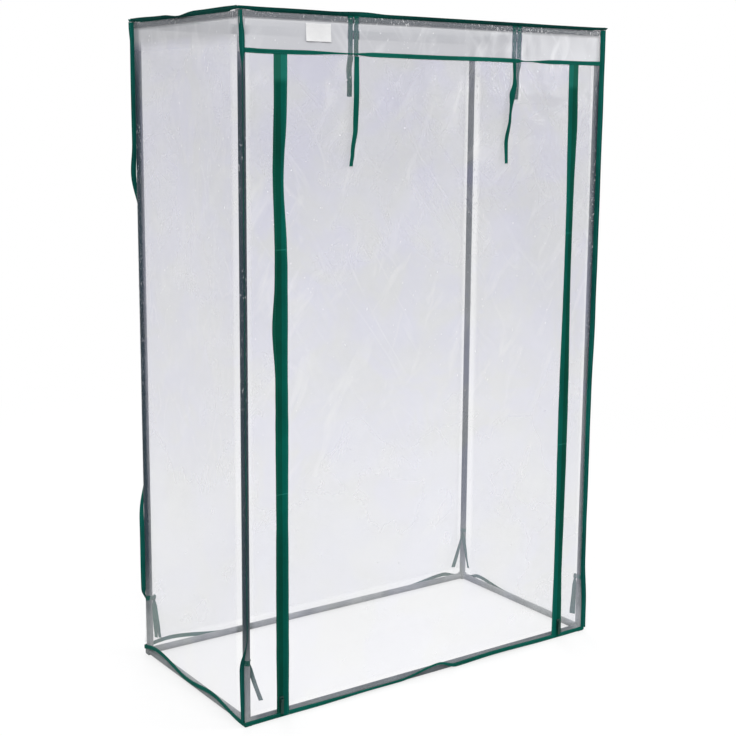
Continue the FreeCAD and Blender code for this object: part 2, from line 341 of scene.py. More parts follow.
@dataclass(frozen=True)
class ClearFilm:
    """Clear film: milky and mottled, but clear and full of painted glints where it is stretched over the
    tubes.
    """

    name: str
    # Painted shade: the film runs from the low tints at the foot to darker, bluer high tints at the top, a
    # painted reflection of darker surroundings.
    high_tint: Triple = (0.42, 0.42, 0.59)
    high_grey: Triple = (0.45, 0.46, 0.50)
    low_tint: Triple = (0.87, 0.88, 1.0)
    low_grey: Triple = (0.88, 0.89, 0.91)
    # Painted light: the side walls are painted lighter and bluer, more so higher up.
    side_tint: Triple = (0.90, 0.90, 1.0)
    milk_tint: Triple = (0.565, 0.57, 0.605)
    # Colour of the film's own pale crease lines and of the painted highlight streaks.
    crease_tint: Triple = (0.95, 0.95, 0.97)
    # Painted highlight: the colour of the glints.
    glint_tint: Triple = (0.97, 0.97, 0.98)
    haze: float = 0.38
    milk_haze: float = 2.40
    tied_haze: float = 0.66
    taut_haze: float = 0.07
    post_x: Span = (0.468, 0.480)
    post_y: Span = (0.204, 0.216)
    post_foot: Span = (0.05, 0.15)
    post_head: Span = (1.36, 1.42)
    top_rail: Span = (1.472, 1.480)
    bottom_rail: Span = (0.026, 0.034)
    wall_x: Span = (0.478, 0.486)
    front_y: Span = (-0.240, -0.232)
    header: Span = (1.411, 1.413)
    milk_band: Span = (1.425, 1.45)
    tie_x: float = 0.2232
    tie_half: Span = (0.0135, 0.0155)
    tie_end: Span = (1.326, 1.328)
    side_x: Span = (0.470, 0.486)
    side_heights: Span = (0.1, 0.7)
    # Painted shade: over these heights the haze thickens and the tint darkens towards the top.
    haze_heights: Span = (0.0, 0.9)
    tint_heights: Span = (0.05, 1.40)
    crease_heights: Span = (0.40, 0.85)
    glint_heights: Span = (0.50, 1.05)

    def taut(self, g: Graph) -> Socket:
        """Share of stretch over the posts and rails.

        Args:
            g: the film's node tree.

        Returns:
            A socket from 0 to 1.
        """
        near_x, near_y = g.span(g.apart(g.x), *self.post_x), g.span(g.apart(g.y), *self.post_y)
        foot, head = g.span(g.z, *self.post_foot, 0.35, 1.0), g.span(g.z, *self.post_head, 1.0, 0.25)
        top = g.times(g.span(g.z, *self.top_rail, 0.0, 0.75), g.most(near_x, near_y))
        bottom = g.times(g.span(g.z, *self.bottom_rail, 0.7, 0.0), near_y)
        return g.most(g.times(near_x, near_y, foot, head), top, bottom)

    def milk(self, g: Graph) -> tuple[Socket, Socket]:
        """Shares of the milkier band below the roof.

        Args:
            g: the film's node tree.

        Returns:
            A socket for the band, and one for where a tie lies against the film and shows through.
        """
        wide, front = g.apart(g.x), g.span(g.y, *self.front_y, 1.0, 0.0)
        valance = g.times(g.span(g.z, *self.header), front)
        band = g.most(g.times(g.span(g.z, *self.milk_band), g.span(wide, *self.wall_x)), valance)
        beside = g.span(g.apart(wide, self.tie_x), *self.tie_half, 1.0, 0.0)
        tied = g.times(beside, g.span(g.z, *self.tie_end), front)
        return g.times(band, g.math("SUBTRACT", 1.0, tied)), tied

    def creases(self, g: Graph, patch: Socket) -> Socket:
        """Share of fine pale crease lines.

        Args:
            g: the film's node tree.
            patch: the noise that gathers them.

        Returns:
            A socket from 0 to 1.
        """
        vein = g.noise(13.0, 2.0, (1.0, 1.0, 0.18), 0.25, 0.62)
        line = g.span(g.apart(vein, 0.5), 0.0, 0.030, 1.0, 0.0)
        return g.times(line, g.span(patch, 0.46, 0.60), g.span(g.z, *self.crease_heights))

    def glints(self, g: Graph, crinkle: Socket, patch: Socket, taut: Socket) -> Socket:
        """Share of small white glints, painted highlights: a few everywhere, many over the tubes.

        Args:
            g: the film's node tree.
            crinkle: the noise of the fine crinkles.
            patch: the noise that gathers them.
            taut: share of stretch.

        Returns:
            A socket from 0 to 1.
        """
        speck = g.noise(210.0, 2.0, (1.0, 1.0, 0.6))
        rare = g.times(g.span(speck, 0.68, 0.74), g.span(crinkle, 0.52, 0.62))
        many = g.times(g.span(speck, 0.61, 0.67), taut, g.span(patch, 0.40, 0.54))
        return g.times(g.most(rare, many), g.span(g.z, *self.glint_heights, 0.10, 0.85))

    @cache
    def material(self) -> bpy.types.Material:
        """Build the material.

        Returns:
            The material, the same one at every call.
        """
        g = Graph(bpy.data.materials.new(self.name), rest=True)
        g.set(IOR=1.5, Specular_IOR_Level=0.5)
        cloud, patch = g.noise(2.6, 4.0, warp=0.6), g.noise(4.3, 2.0, turn=0.4)
        crinkle = g.noise(46.0, 4.0, (1.0, 1.0, 0.6), 0.3)
        mottle = g.span(g.noise(7.5, 4.0, warp=0.8), 0.42, 0.58)
        # Painted highlights: soft pale streaks over the film.
        highlight_streak = g.span(g.noise(21.0, 3.0, (1.0, 1.0, 0.35), 0.5, -0.5), 0.56, 0.70, 0.0, 0.34)
        taut = self.taut(g)
        milk, tied = self.milk(g)
        crease = self.creases(g, patch)
        glint = self.glints(g, crinkle, patch, taut)
        # Haze: random clouds, thicker towards the top as part of the painted shade there, milkier under the
        # roof, thinner by the ties and over the tubes.
        haze = g.times(
            g.span(cloud, 0.3, 0.7, 0.86 * self.haze, 1.14 * self.haze),
            g.span(g.z, *self.haze_heights, 0.66, 1.0),
            g.span(milk, 0.0, 1.0, 1.0, self.milk_haze), g.span(tied, 0.0, 1.0, 1.0, self.tied_haze),
            g.span(taut, 0.0, 1.0, 1.0, self.taut_haze))
        haze = g.math("ADD", haze, g.times(crease, 0.04))
        # Painted shade: the tint turns darker and bluer towards the top.
        low, high = g.mix(mottle, self.low_tint, self.low_grey), g.mix(mottle, self.high_tint, self.high_grey)
        tint = g.mix(g.span(g.z, *self.tint_heights), low, high)
        # Painted light: the side walls are painted lighter, and keep fewer of the painted highlight streaks.
        side = g.span(g.apart(g.x), *self.side_x, 0.0, 0.25)
        highlight_streak = g.times(highlight_streak, g.math("SUBTRACT", 1.0, g.times(side, 2.0)))
        tint = g.mix(g.times(side, g.span(g.z, *self.side_heights)), tint, self.side_tint)
        tint = g.mix(milk, tint, self.milk_tint)
        # The crease lines and the painted highlight streaks pale the tint.
        tint = g.mix(g.most(g.times(crease, 0.18), highlight_streak), tint, self.crease_tint)
        # Painted highlights: the glints are painted white into the colour and made more opaque.
        g.feed("Base Color", g.mix(glint, tint, self.glint_tint))
        g.feed("Alpha", g.math("MINIMUM", g.math("ADD", haze, g.times(glint, 0.6)), 1.0))
        g.feed("Roughness", g.span(crinkle, 0.35, 0.7, 0.06, 0.22))
        g.bump(crinkle, 0.10, 0.003)
        return g.owner


@dataclass(frozen=True)
class WovenTape:
    """Woven synthetic tape with stitch rows, on a UV map in metres: U along, V across."""

    name: str
    colour: Triple
    shade: Triple
    thread: float = 0.0011
    rows: tuple[float, ...] = ()
    stitch: float = 0.0052
    stitched: Span = (0.18, 0.84)
    stitch_half: Span = (0.0003, 0.0007)
    # Painted highlights: heights of the folds pressed across the tape, each painted as a lighter band.
    pressed: tuple[float, ...] = ()
    fold_half: Span = (0.0004, 0.0012)
    # Painted highlight: heights over which the tape's head is painted lighter.
    light_above: Span | None = None

    @cache
    def material(self) -> bpy.types.Material:
        """Build the material.

        Returns:
            The material, the same one at every call.
        """
        g = Graph(bpy.data.materials.new(self.name), rest=True)
        g.set(Sheen_Weight=0.01, Sheen_Roughness=0.5, Specular_IOR_Level=0.03)
        u, v, _ = g.axes(g.coords["UV"])
        turns = 2 * math.pi / self.thread
        weave = g.times(g.math("SINE", g.times(u, turns)), g.math("SINE", g.times(v, turns)))
        worn, fine = g.noise(7.0), g.noise(160.0)
        tone = g.math("ADD", g.times(worn, 0.8), g.times(fine, 0.2))
        colour = g.mix(g.span(tone, 0.36, 0.66), self.shade, self.colour)
        colour = g.mix(g.span(weave, -1.0, 1.0, 0.0, 0.22), colour, self.shade)
        lighter = tuple(min(1.0, 1.7 * c + 0.02) for c in self.colour)
        height = g.times(weave, 0.35)
        dash = g.math("FRACT", g.math("DIVIDE", u, self.stitch))
        start, end = self.stitched
        dash = g.times(g.math("GREATER_THAN", dash, start), g.math("LESS_THAN", dash, end))
        for row in self.rows:
            thread = g.times(g.span(g.apart(v, row), *self.stitch_half, 1.0, 0.0), dash)
            colour = g.mix(g.times(thread, 0.6), colour, lighter)
            height = g.math("ADD", height, g.times(thread, 1.4))
        # Painted highlights: lighter towards the top, and along each pressed fold.
        if self.light_above:
            colour = g.mix(g.span(g.z, *self.light_above, 0.0, 0.5), colour, lighter)
        for fold in self.pressed:
            colour = g.mix(g.span(g.apart(g.z, fold), *self.fold_half, 0.8, 0.0), colour, lighter)
        g.feed("Base Color", colour)
        g.feed("Roughness", g.span(fine, 0.3, 0.7, 0.55, 0.78))
        g.bump(height, 0.5, 0.0004)
        return g.owner


def zip_weave(name: str, colour: Triple, shade: Triple) -> WovenTape:
    """Fine tape of a zip, with painted highlights along the folds that its packing pressed across it and on
    its head.
    """
    return WovenTape(name, colour, shade, 0.0009, (0.0018, 0.0042), pressed=(0.50, 1.017),
                     light_above=(1.352, 1.364))


@dataclass(frozen=True)
class PaintedSurface:
    """Paint or moulded plastic with a fine skin texture, rubbed patches and, on some, a painted reflection of
    the pale floor at its foot.
    """

    name: str
    colour: Triple
    rubbed: Triple
    roughness: float
    grain: float
    depth: float
    # Painted reflection: how strongly the pale floor is painted into the foot.
    dust: float = 0.0
    dust_tint: Triple = (0.42, 0.44, 0.44)
    dust_height: Span = (0.04, 0.24)
    dust_ends: Span = (0.455, 0.475)
    dust_front: Span = (-0.22, -0.20)

    def dusty(self, g: Graph, patch: Socket) -> Socket:
        """Share of the painted reflection of the pale floor at the foot, less along the front.

        Args:
            g: the finish's node tree.
            patch: the noise that breaks it up.

        Returns:
            A socket from 0 to 1.
        """
        ends = g.span(g.apart(g.x), *self.dust_ends, 0.4, 1.0)
        share = g.most(ends, g.span(g.y, *self.dust_front, 0.4, 1.0))
        near_floor = g.span(g.z, *self.dust_height, self.dust, 0.0)
        return g.times(share, near_floor, g.span(patch, 0.38, 0.60, 0.5, 1.0))

    @cache
    def material(self) -> bpy.types.Material:
        """Build the material.

        Returns:
            The material, the same one at every call.
        """
        g = Graph(bpy.data.materials.new(self.name))
        g.set(Specular_IOR_Level=0.3)
        patch, skin = g.noise(11.0, 5.0, warp=0.4), g.noise(self.grain, 2.0)
        scuff = g.noise(70.0, 4.0, warp=1.0)
        mark = g.times(g.span(scuff, 0.60, 0.70, 0.0, 0.7), g.span(patch, 0.45, 0.6))
        tone = g.mix(g.span(patch, 0.3, 0.7), self.colour, tuple(1.35 * c for c in self.colour))
        # Painted reflection: the foot is painted paler, standing in for the pale floor that it would reflect.
        if self.dust:
            tone = g.mix(self.dusty(g, patch), tone, self.dust_tint)
        g.feed("Base Color", g.mix(mark, tone, self.rubbed))
        g.feed("Roughness", g.span(patch, 0.3, 0.7, self.roughness - 0.08, self.roughness + 0.12))
        g.bump(skin, 0.3, self.depth)
        return g.owner


class Finish(Enum):
    """Every finish of the greenhouse."""

    FILM = ClearFilm("clear_film")
    BINDING = WovenTape("green_binding", (0.004, 0.115, 0.090), (0.002, 0.052, 0.045), rows=(0.0075, 0.0161))
    HEM = WovenTape("green_hem", (0.004, 0.125, 0.092), (0.002, 0.070, 0.052), rows=(0.0022, 0.0082))
    # Painted light and shade: the fixed and the door halves are one tape, with the fixed halves painted
    # darker and the door halves lighter.
    TAPE = zip_weave("zip_tape", (0.001, 0.086, 0.056), (0.001, 0.051, 0.033))
    DOOR_TAPE = zip_weave("door_zip_tape", (0.001, 0.120, 0.090), (0.001, 0.075, 0.056))
    RIBBON = WovenTape("tie_ribbon", (0.003, 0.115, 0.085), (0.001, 0.065, 0.048), 0.0013)
    LABEL = WovenTape("label_cloth", (0.90, 0.90, 0.90), (0.80, 0.80, 0.81), 0.0008, (0.002, 0.034))
    # The last number of a painted surface is the strength of its painted floor reflection at the foot.
    TUBE = PaintedSurface("tube_paint", (0.008, 0.022, 0.033), (0.08, 0.09, 0.10), 0.42, 900.0, 0.0003, 0.7)
    CONNECTOR = PaintedSurface(
        "connector_plastic", (0.022, 0.030, 0.036), (0.08, 0.09, 0.10), 0.5, 1400.0, 0.0002, 0.7)
    COIL = PaintedSurface("zip_coil", (0.001, 0.062, 0.045), (0.01, 0.10, 0.07), 0.45, 700.0, 0.0001)
    SLIDER = PaintedSurface(
        "zip_slider_enamel", (0.003, 0.030, 0.023), (0.12, 0.20, 0.17), 0.35, 500.0, 0.0001)

    @property
    def material(self) -> bpy.types.Material:
        """The finish's material, built once."""
        return self.value.material()


class SheetMesh:
    """One mesh grown from grids that are laid onto curved surfaces.

    Each grid keeps its flat place in the UV map, in metres.
    """

    sharp_angle = math.radians(50)

    def __init__(self, name: str) -> None:
        """Start an empty mesh.

        Args:
            name: the finished piece's name.
        """
        self.name = name
        self.bm = bmesh.new()
        self.uv = self.bm.loops.layers.uv.new("UVMap")
        self.rest = self.bm.verts.layers.float_vector.new("rest")

    def lay(self, flat: Span, cells: tuple[int, int], place: Place, thick: float = 0.0,
            toward: Vector | None = None) -> None:
        """Lay a grid onto a surface.

        Args:
            flat: its cut size, along and across.
            cells: how many cells each way.
            place: gives a point for shares along and across.
            thick: thickness, 0 for a single skin.
            toward: the side that shows, from which the thickness goes back.
        """
        verts = bmesh.ops.create_grid(self.bm, x_segments=cells[0], y_segments=cells[1], size=0.5)["verts"]
        faces = list(dict.fromkeys(f for v in verts for f in v.link_faces))
        for face in faces:
            for loop in face.loops:
                co = loop.vert.co
                loop[self.uv].uv = ((co.x + 0.5) * flat[0], (co.y + 0.5) * flat[1])
        for vert in verts:
            vert.co = place(vert.co.x + 0.5, vert.co.y + 0.5)
            vert[self.rest] = vert.co
        if thick:
            bmesh.ops.recalc_face_normals(self.bm, faces=faces)
            if toward and sum((f.normal * f.calc_area() for f in faces), Vector()).dot(toward) < 0:
                bmesh.ops.reverse_faces(self.bm, faces=faces)
            bmesh.ops.solidify(self.bm, geom=faces, thickness=thick)

    def stud(self, shape: bpy.types.Mesh, spots: Sequence[Vector]) -> None:
        """Set copies of a small shape at points.

        Args:
            shape: mesh round its own origin.
            spots: where each copy goes.
        """
        for spot in spots:
            before = len(self.bm.verts)
            self.bm.from_mesh(shape)
            self.bm.verts.ensure_lookup_table()
            bmesh.ops.translate(self.bm, verts=self.bm.verts[before:], vec=spot)

    def piece(self, slot: Slot, finishes: Sequence[Finish], nodes: Sequence[str] = ()) -> Piece:
        """Make the finished object.

        Args:
            slot: the record's material slot; not used.
            finishes: its finishes, in index order.
            nodes: CAD nodes that it stands for.

        Returns:
            The object, which rides on nothing yet.
        """
        mesh = bpy.data.meshes.new(self.name)
        self.bm.normal_update()
        self.bm.to_mesh(mesh)
        self.bm.free()
        mesh.shade_smooth()
        mesh.set_sharp_from_angle(angle=self.sharp_angle)
        for finish in finishes:
            mesh.materials.append(finish.material)
        piece = bpy.data.objects.new(self.name, mesh)
        bpy.context.scene.collection.objects.link(piece)
        if nodes:
            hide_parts(*nodes)
        log.info("%s: %d faces", self.name, len(mesh.polygons))
        return piece


@dataclass(frozen=True)
class Creases:
    """How a film panel departs from flat: billow, soft folds, crinkles and packing creases."""

    seed: float
    billow: float = -0.003
    folds: float = 0.0015
    crinkle: float = 0.0005
    lean: float = 0.5
    packed: tuple[float, ...] = (0.135, 0.505, 0.93, 1.34)
    packed_height: float = 0.0011
    packed_reach: float = 0.009
    packed_stray: float = 0.006

    def offset(self, across: float, up: float, edge: float) -> float:
        """Distance out of the panel's plane.

        Args:
            across: place across the panel, in metres.
            up: height on the panel, in metres.
            edge: distance to the nearest held edge.

        Returns:
            The offset along the outward normal, in metres.
        """
        held = smooth(edge, 0.008, 0.06)
        drift = 0.8 + 0.5 * wobble(across * 2.1, up * 1.6, self.seed)
        broad = self.billow * smooth(edge, 0.0, 0.22) * drift
        c, s = math.cos(self.lean), math.sin(self.lean)
        crest = wobble((across * c + up * s) * 9, (up * c - across * s) * 3, self.seed + 7)
        soft = self.folds * held * ((1 - math.hypot(crest, 0.12)) ** 5 - 0.3)
        fine = self.crinkle * smooth(edge, 0.004, 0.02) * wobble(across * 34, up * 22, self.seed + 3)
        fold = 0.0
        for line in self.packed:
            bend = up - line - self.packed_stray * wobble(across * 3, line, self.seed)
            worn = 0.6 + 0.7 * wobble(across * 5, line * 9, self.seed)
            fold += self.packed_height * held * math.exp(-abs(bend) / self.packed_reach) * worn
        return broad + soft + fine + fold


@dataclass(frozen=True)
class Shell:
    """Where the film's planes lie, and how far inside them the tubes run."""

    x: float
    y: float
    top: float
    tube: float

    @classmethod
    def measure(cls) -> "Shell":
        """Read the planes from the CAD pieces."""
        x = middle("right_film")[0]
        return cls(x, middle("back_film")[1], middle("roof_film")[2], x - middle("post_lower_back_right")[0])

    def tuck(self, edge: float, share: float) -> Span:
        """How film goes round a tube beside a seam.

        Args:
            edge: distance to the seam, if the film's corner were sharp.
            share: 0 for a sharp corner, 1 for one that hugs the tube.

        Returns:
            How far the film draws back from the seam, and how far it sinks.
        """
        turn = math.radians(45) * max(0.0, 1 - edge / self.tube)
        draw = self.tube * (1 - math.sin(turn)) - min(edge, self.tube)
        return share * draw, share * self.tube * (1 - math.cos(turn))


@dataclass(frozen=True)
class Slack:
    """How a bottom edge hangs: loose waves, lifted stretches, and stretches where its tape rolls narrow.

    Each stretch has its start, its peak, its end and how much it lifts or narrows.
    """

    seed: float
    loose: float = 0.002
    lifts: tuple[Four, ...] = ()
    thins: tuple[Four, ...] = ()

    def out(self, along: float) -> float:
        """Distance out of the panel's plane."""
        return self.loose * (0.5 + 0.6 * wobble((along + self.seed) * 7.0, 2.5))

    def rise(self, along: float) -> float:
        """Height above the straight edge."""
        small = 0.0010 * wobble((along + self.seed) * 8.0, 6.0)
        return small + sum(height * swell(along, a, peak, b) for a, peak, b, height in self.lifts)

    def kick(self, along: float) -> float:
        """Distance out of the plane of an edge that comes forward where it lifts."""
        return self.out(along) + 0.3 * self.rise(along)

    def width(self, along: float) -> float:
        """Share of the tape's width that shows."""
        return 1 - sum(share * swell(along, a, peak, b) for a, peak, b, share in self.thins)


@dataclass(frozen=True)
class Panel:
    """One film panel: its corner, its two directions and size, and which of its edges go round a tube."""

    name: str
    shell: Shell
    corner: Vector
    across: Vector
    up: Vector
    size: Span
    creases: Creases
    tucks: tuple[bool, bool, bool, bool] = (True, True, False, True)
    blocks: Span = (0.0, 0.0)
    slack: Slack | None = None
    cell: float = 0.0075
    round_cells: int = 8
    loose_reach: float = 0.09

    def stops(self, length: float, low: bool, high: bool) -> list[float]:
        """Grid lines along one direction, close together where the film goes round a tube.

        Args:
            length: the panel's size that way.
            low: whether its start goes round a tube.
            high: whether its end does.

        Returns:
            Rising distances from 0 to the length.
        """
        turn, step = self.shell.tube, self.shell.tube / self.round_cells
        near = [k * step for k in range(self.round_cells)] if low else []
        far = [length - k * step for k in range(self.round_cells - 1, -1, -1)] if high else []
        first, last = turn if low else 0.0, length - turn if high else length
        count = max(1, round((last - first) / self.cell))
        return near + [first + (last - first) * k / count for k in range(count + 1)] + far

    def point(self, x: float, z: float) -> Vector:
        """Place of a point of the panel.

        Args:
            x: distance across the flat panel.
            z: distance up the flat panel.

        Returns:
            The point on the hanging panel.
        """
        width, height = self.size
        shift = self.creases.offset(x, z, min(x, width - x, z, height - z))
        upright = smooth(z + self.blocks[0], *HUG) * smooth(height - z + self.blocks[1], *HUG)
        level = smooth(min(x, width - x), *HUG)
        edges = ((x, upright), (width - x, upright), (z, level), (height - z, level))
        pulls = [self.shell.tuck(*edge) if on else (0.0, 0.0) for edge, on in zip(edges, self.tucks)]
        if self.slack:
            shift += self.slack.out(x) * (1 - smooth(z, 0.0, self.loose_reach))
            z += self.slack.rise(x) * (1 - smooth(z, 0.0, LIFT_REACH))
        x += pulls[0][0] - pulls[1][0]
        z += pulls[2][0] - pulls[3][0]
        shift -= max(sink for _, sink in pulls)
        return self.corner + self.across * x + self.up * z + self.across.cross(self.up) * shift

    def build(self) -> Piece:
        """Make the creased panel.

        Returns:
            The piece that stands for the CAD panel of the same name.
        """
        left, right, low, high = self.tucks
        xs, zs = self.stops(self.size[0], left, right), self.stops(self.size[1], low, high)
        cells = (len(xs) - 1, len(zs) - 1)
        mesh = SheetMesh(f"{self.name}_sheet")
        mesh.lay(self.size, cells, lambda u, v: self.point(xs[round(u * cells[0])], zs[round(v * cells[1])]))
        return mesh.piece(Slot.FILM, [Finish.FILM], [self.name])

    def hem(self, mesh: SheetMesh, centre: float, tall: float) -> None:
        """Add the panel's hem tape to a mesh.

        Args:
            mesh: the mesh it joins.
            centre: height of the tape's middle.
            tall: the tape's width.
        """
        out, width = self.across.cross(self.up), self.size[0]

        def place(u: float, v: float) -> Vector:
            """Point of the hem.

            Args:
                u: share along it.
                v: share up it.

            Returns:
                The point at rest.
            """
            along = u * width
            z = centre + (v - 0.5) * tall * self.slack.width(along) + self.slack.rise(along)
            belly = HEM_PROUD + crown(v)
            spot = self.corner + self.across * along + out * (self.slack.out(along) + belly)
            return Vector((spot.x, spot.y, z))

        mesh.lay((width, tall), (max(8, round(width / TAPE_CELL)), 6), place, HEM_THICK, out)


@dataclass(frozen=True)
class Fin:
    """Binding folded over a seam's two film edges.

    It stands out from the cover, leans over in places, and a tight panel may turn it round its tube.
    """

    shell: Shell
    start: Vector
    end: Vector
    out: Vector
    leans: Keys
    seed: float
    turns: Keys = STRAIGHT
    width: float = 0.0080
    half_thick: float = 0.0008

    def lay(self, mesh: SheetMesh) -> None:
        """Add the fin to a mesh.

        Args:
            mesh: the mesh it joins.
        """
        run = self.end - self.start
        length, axis = run.length, run.normalized()
        tube = self.shell.tube
        deep = tube * (math.sqrt(2) - 1)

        def place(u: float, v: float) -> Vector:
            """Point of the fin.

            Args:
                u: share along the seam.
                v: share round the fold.

            Returns:
                The point at rest.
            """
            along = u * length
            hug = smooth(min(along, length - along), *HUG)
            turn = trace(self.turns, u)
            angle = turn + trace(self.leans, u) + 0.2 * wobble(along * 5, self.seed)
            face, way = Quaternion(axis, turn) @ self.out, Quaternion(axis, angle) @ self.out
            stand = tube * hug + tube / math.cos(math.pi / 4 - abs(turn)) * (1 - hug)
            seam = self.start + run * u - self.out * (tube + deep) + face * stand
            s = 2 * v - 1
            root = tube + deep - stand
            reach = (self.width + root) * (1 - abs(s)) * (1 + 0.06 * wobble(along * 9, self.seed, 4.0))
            side = axis.cross(way) * (self.half_thick * math.tanh(4 * s))
            return seam + way * reach + side

        mesh.lay((length, 2 * (self.width + deep)), (max(8, round(length / TAPE_CELL)), 12), place)


@dataclass
class Cover:
    """The film cover without its door: panels, bindings, hems and the blank label.

    Each upright fin has its turns and its leans by corner, and each top fin its leans by side. A roll is
    where the valance's tape goes edge-on: its start, its peak, its end and its share.
    """

    low: float = 0.007
    hem_height: float = 0.010
    under_zip: float = 0.009
    fin_foot: float = 0.005
    fin_head: float = 0.0016
    front_overrun: float = 0.006
    side_shortfall: float = 0.002
    label_thick: float = 0.0003
    label_proud: float = 0.0006
    rolls: tuple[Four, ...] = ((-0.36, -0.23, -0.165, 0.72), (0.215, 0.25, 0.34, 0.8))
    shell: Shell = field(default_factory=Shell.measure)
    upright_fins: dict[tuple[int, int], tuple[Keys, Keys]] = field(default_factory=lambda: {
        (-1, -1): (((0.0, -0.3), (0.08, -0.4), (0.13, 0.5), (0.92, 0.5), (0.96, -0.2), (1.0, -0.2)),
                   ((0.0, -0.2), (0.08, -0.2), (0.13, -0.2), (0.92, -0.2), (0.96, 1.6), (1.0, 1.3))),
        (1, -1): (((0.0, -0.8), (0.04, -0.8), (0.12, -1.5), (0.40, -1.45), (0.55, -1.05), (1.0, -0.9)),
                  ((0.0, 0.7), (0.04, 0.7), (0.12, 1.45), (0.40, 1.4), (0.55, 1.1), (1.0, 0.9))),
        (-1, 1): (((0.0, -0.8), (0.07, -0.8), (0.11, 0.9), (0.20, 0.9), (0.30, -0.8), (0.70, -0.8),
                   (0.82, 0.9), (1.0, 0.9)),
                  ((0.0, -0.5), (0.07, -0.5), (0.11, -0.9), (0.20, -0.9), (0.30, -0.5), (0.70, -0.5),
                   (0.82, 0.1), (0.97, 0.1), (1.0, -0.5))),
        (1, 1): (STRAIGHT, STRAIGHT),
    })
    top_fins: dict[str, Keys] = field(default_factory=lambda: {
        "front": ((0.0, 0.0), (0.22, 0.1), (0.30, -0.15), (0.36, 0.15), (1.0, 0.25)),
        "back": ((0.0, 0.0), (1.0, 0.1)),
        "left": ((0.0, 0.2), (0.35, 0.1), (0.5, -0.6), (0.65, -0.1), (1.0, 0.1)),
        "right": ((0.0, 0.0), (1.0, 0.1)),
    })

    def build(self) -> None:
        """Build and place every piece of the cover."""
        panels = self.panels()
        for panel in panels:
            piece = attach(panel.build(), COVER)
        hems = SheetMesh("hem_tape")
        for panel in panels:
            if panel.slack:
                panel.hem(hems, self.low, self.hem_height)
        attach(hems.piece(Slot.BINDING, [Finish.HEM], ["hem_binding"]), COVER)
        self.fins()
        self.valance_edge()
        self.label()

    def panels(self) -> list[Panel]:
        """Describe the film panels, with the slack of those that have a hem.

        Returns:
            The panels, in the order they are built.
        """
        shell, low = self.shell, self.low
        x, y, top = shell.x, shell.y, shell.top
        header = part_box("valance_film")[0].z
        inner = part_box("front_right_film")[0].x - self.under_zip
        tall, strip = top - low, (x - inner, header - low)
        ex, ey = Vector((1, 0, 0)), Vector((0, 1, 0))
        foot, above = (low, 0.0), (low, top - header)
        flat = Creases(6.0, -0.0005, 0.0008, 0.0005)
        back_slack = Slack(2.0, lifts=((0.02, 0.07, 0.21, 0.013), (0.76, 0.92, 1.06, 0.018)))
        left_slack = Slack(3.0, lifts=((-0.06, 0.07, 0.28, 0.024), (0.18, 0.34, 0.475, 0.016)))
        right_slack = Slack(4.0, lifts=((0.30, 0.42, 0.465, 0.013),))
        still = Slack(6.0, 0.0004)
        return [
            Panel("roof_film", shell, Vector((-x, -y, top)), ex, ey, (2 * x, 2 * y),
                  Creases(1.0, -0.006, packed=()), (True, True, True, True)),
            Panel("back_film", shell, Vector((x, y, low)), -ex, UP, (2 * x, tall), Creases(2.0, -0.004),
                  blocks=foot, slack=back_slack),
            Panel("left_film", shell, Vector((-x, y, low)), -ey, UP, (2 * y, tall),
                  Creases(3.0, -0.004, lean=-0.4), blocks=foot, slack=left_slack),
            Panel("right_film", shell, Vector((x, -y, low)), ey, UP, (2 * y, tall), Creases(4.0, -0.004),
                  blocks=foot, slack=right_slack),
            Panel("valance_film", shell, Vector((-x, -y, header)), ex, UP, (2 * x, top - header),
                  Creases(5.0, 0.0, 0.0006, 0.0006, 0.9, ()), blocks=(header, 0.0)),
            Panel("front_left_film", shell, Vector((-x, -y, low)), ex, UP, strip, flat,
                  (True, False, False, False), above, still),
            Panel("front_right_film", shell, Vector((inner, -y, low)), ex, UP, strip, flat,
                  (False, True, False, False), above, still),
        ]

    def fins(self) -> None:
        """Build the bindings that stand out along the upright and the top seams."""
        shell, half = self.shell, math.sqrt(0.5)
        x, y, top = shell.x, shell.y, shell.top
        foot, head = self.low + self.fin_foot, top - self.fin_head
        corner, edge = SheetMesh("corner_binding_tape"), SheetMesh("top_edge_binding_tape")
        for sx, sy in CORNERS:
            turns, leans = self.upright_fins[sx, sy]
            start, end = Vector((sx * x, sy * y, foot)), Vector((sx * x, sy * y, head))
            Fin(shell, start, end, Vector((sx * half, sy * half, 0)), leans, 3.1 * sx + sy, turns).lay(corner)
        wide, deep = x + self.front_overrun, y - self.side_shortfall
        for name, sy in (("front", -1), ("back", 1)):
            start, end = Vector((-wide, sy * y, top)), Vector((wide, sy * y, top))
            Fin(shell, start, end, Vector((0, sy * half, half)), self.top_fins[name], 20 + sy).lay(edge)
        for name, sx in (("left", -1), ("right", 1)):
            start, end = Vector((sx * x, -deep, top)), Vector((sx * x, deep, top))
            Fin(shell, start, end, Vector((sx * half, 0, half)), self.top_fins[name], 30 + sx).lay(edge)
        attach(corner.piece(Slot.BINDING, [Finish.BINDING], ["corner_binding"]), COVER)
        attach(edge.piece(Slot.BINDING, [Finish.BINDING], ["top_edge_binding"]), COVER)

    def valance_edge(self) -> None:
        """Build the tape along the valance, above the door, which rolls edge-on in two places."""
        low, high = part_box("valance_binding")
        centre = middle("valance_binding")[2]
        tape = SheetMesh("valance_binding_tape")
        width, tall = high.x - low.x, high.z - low.z

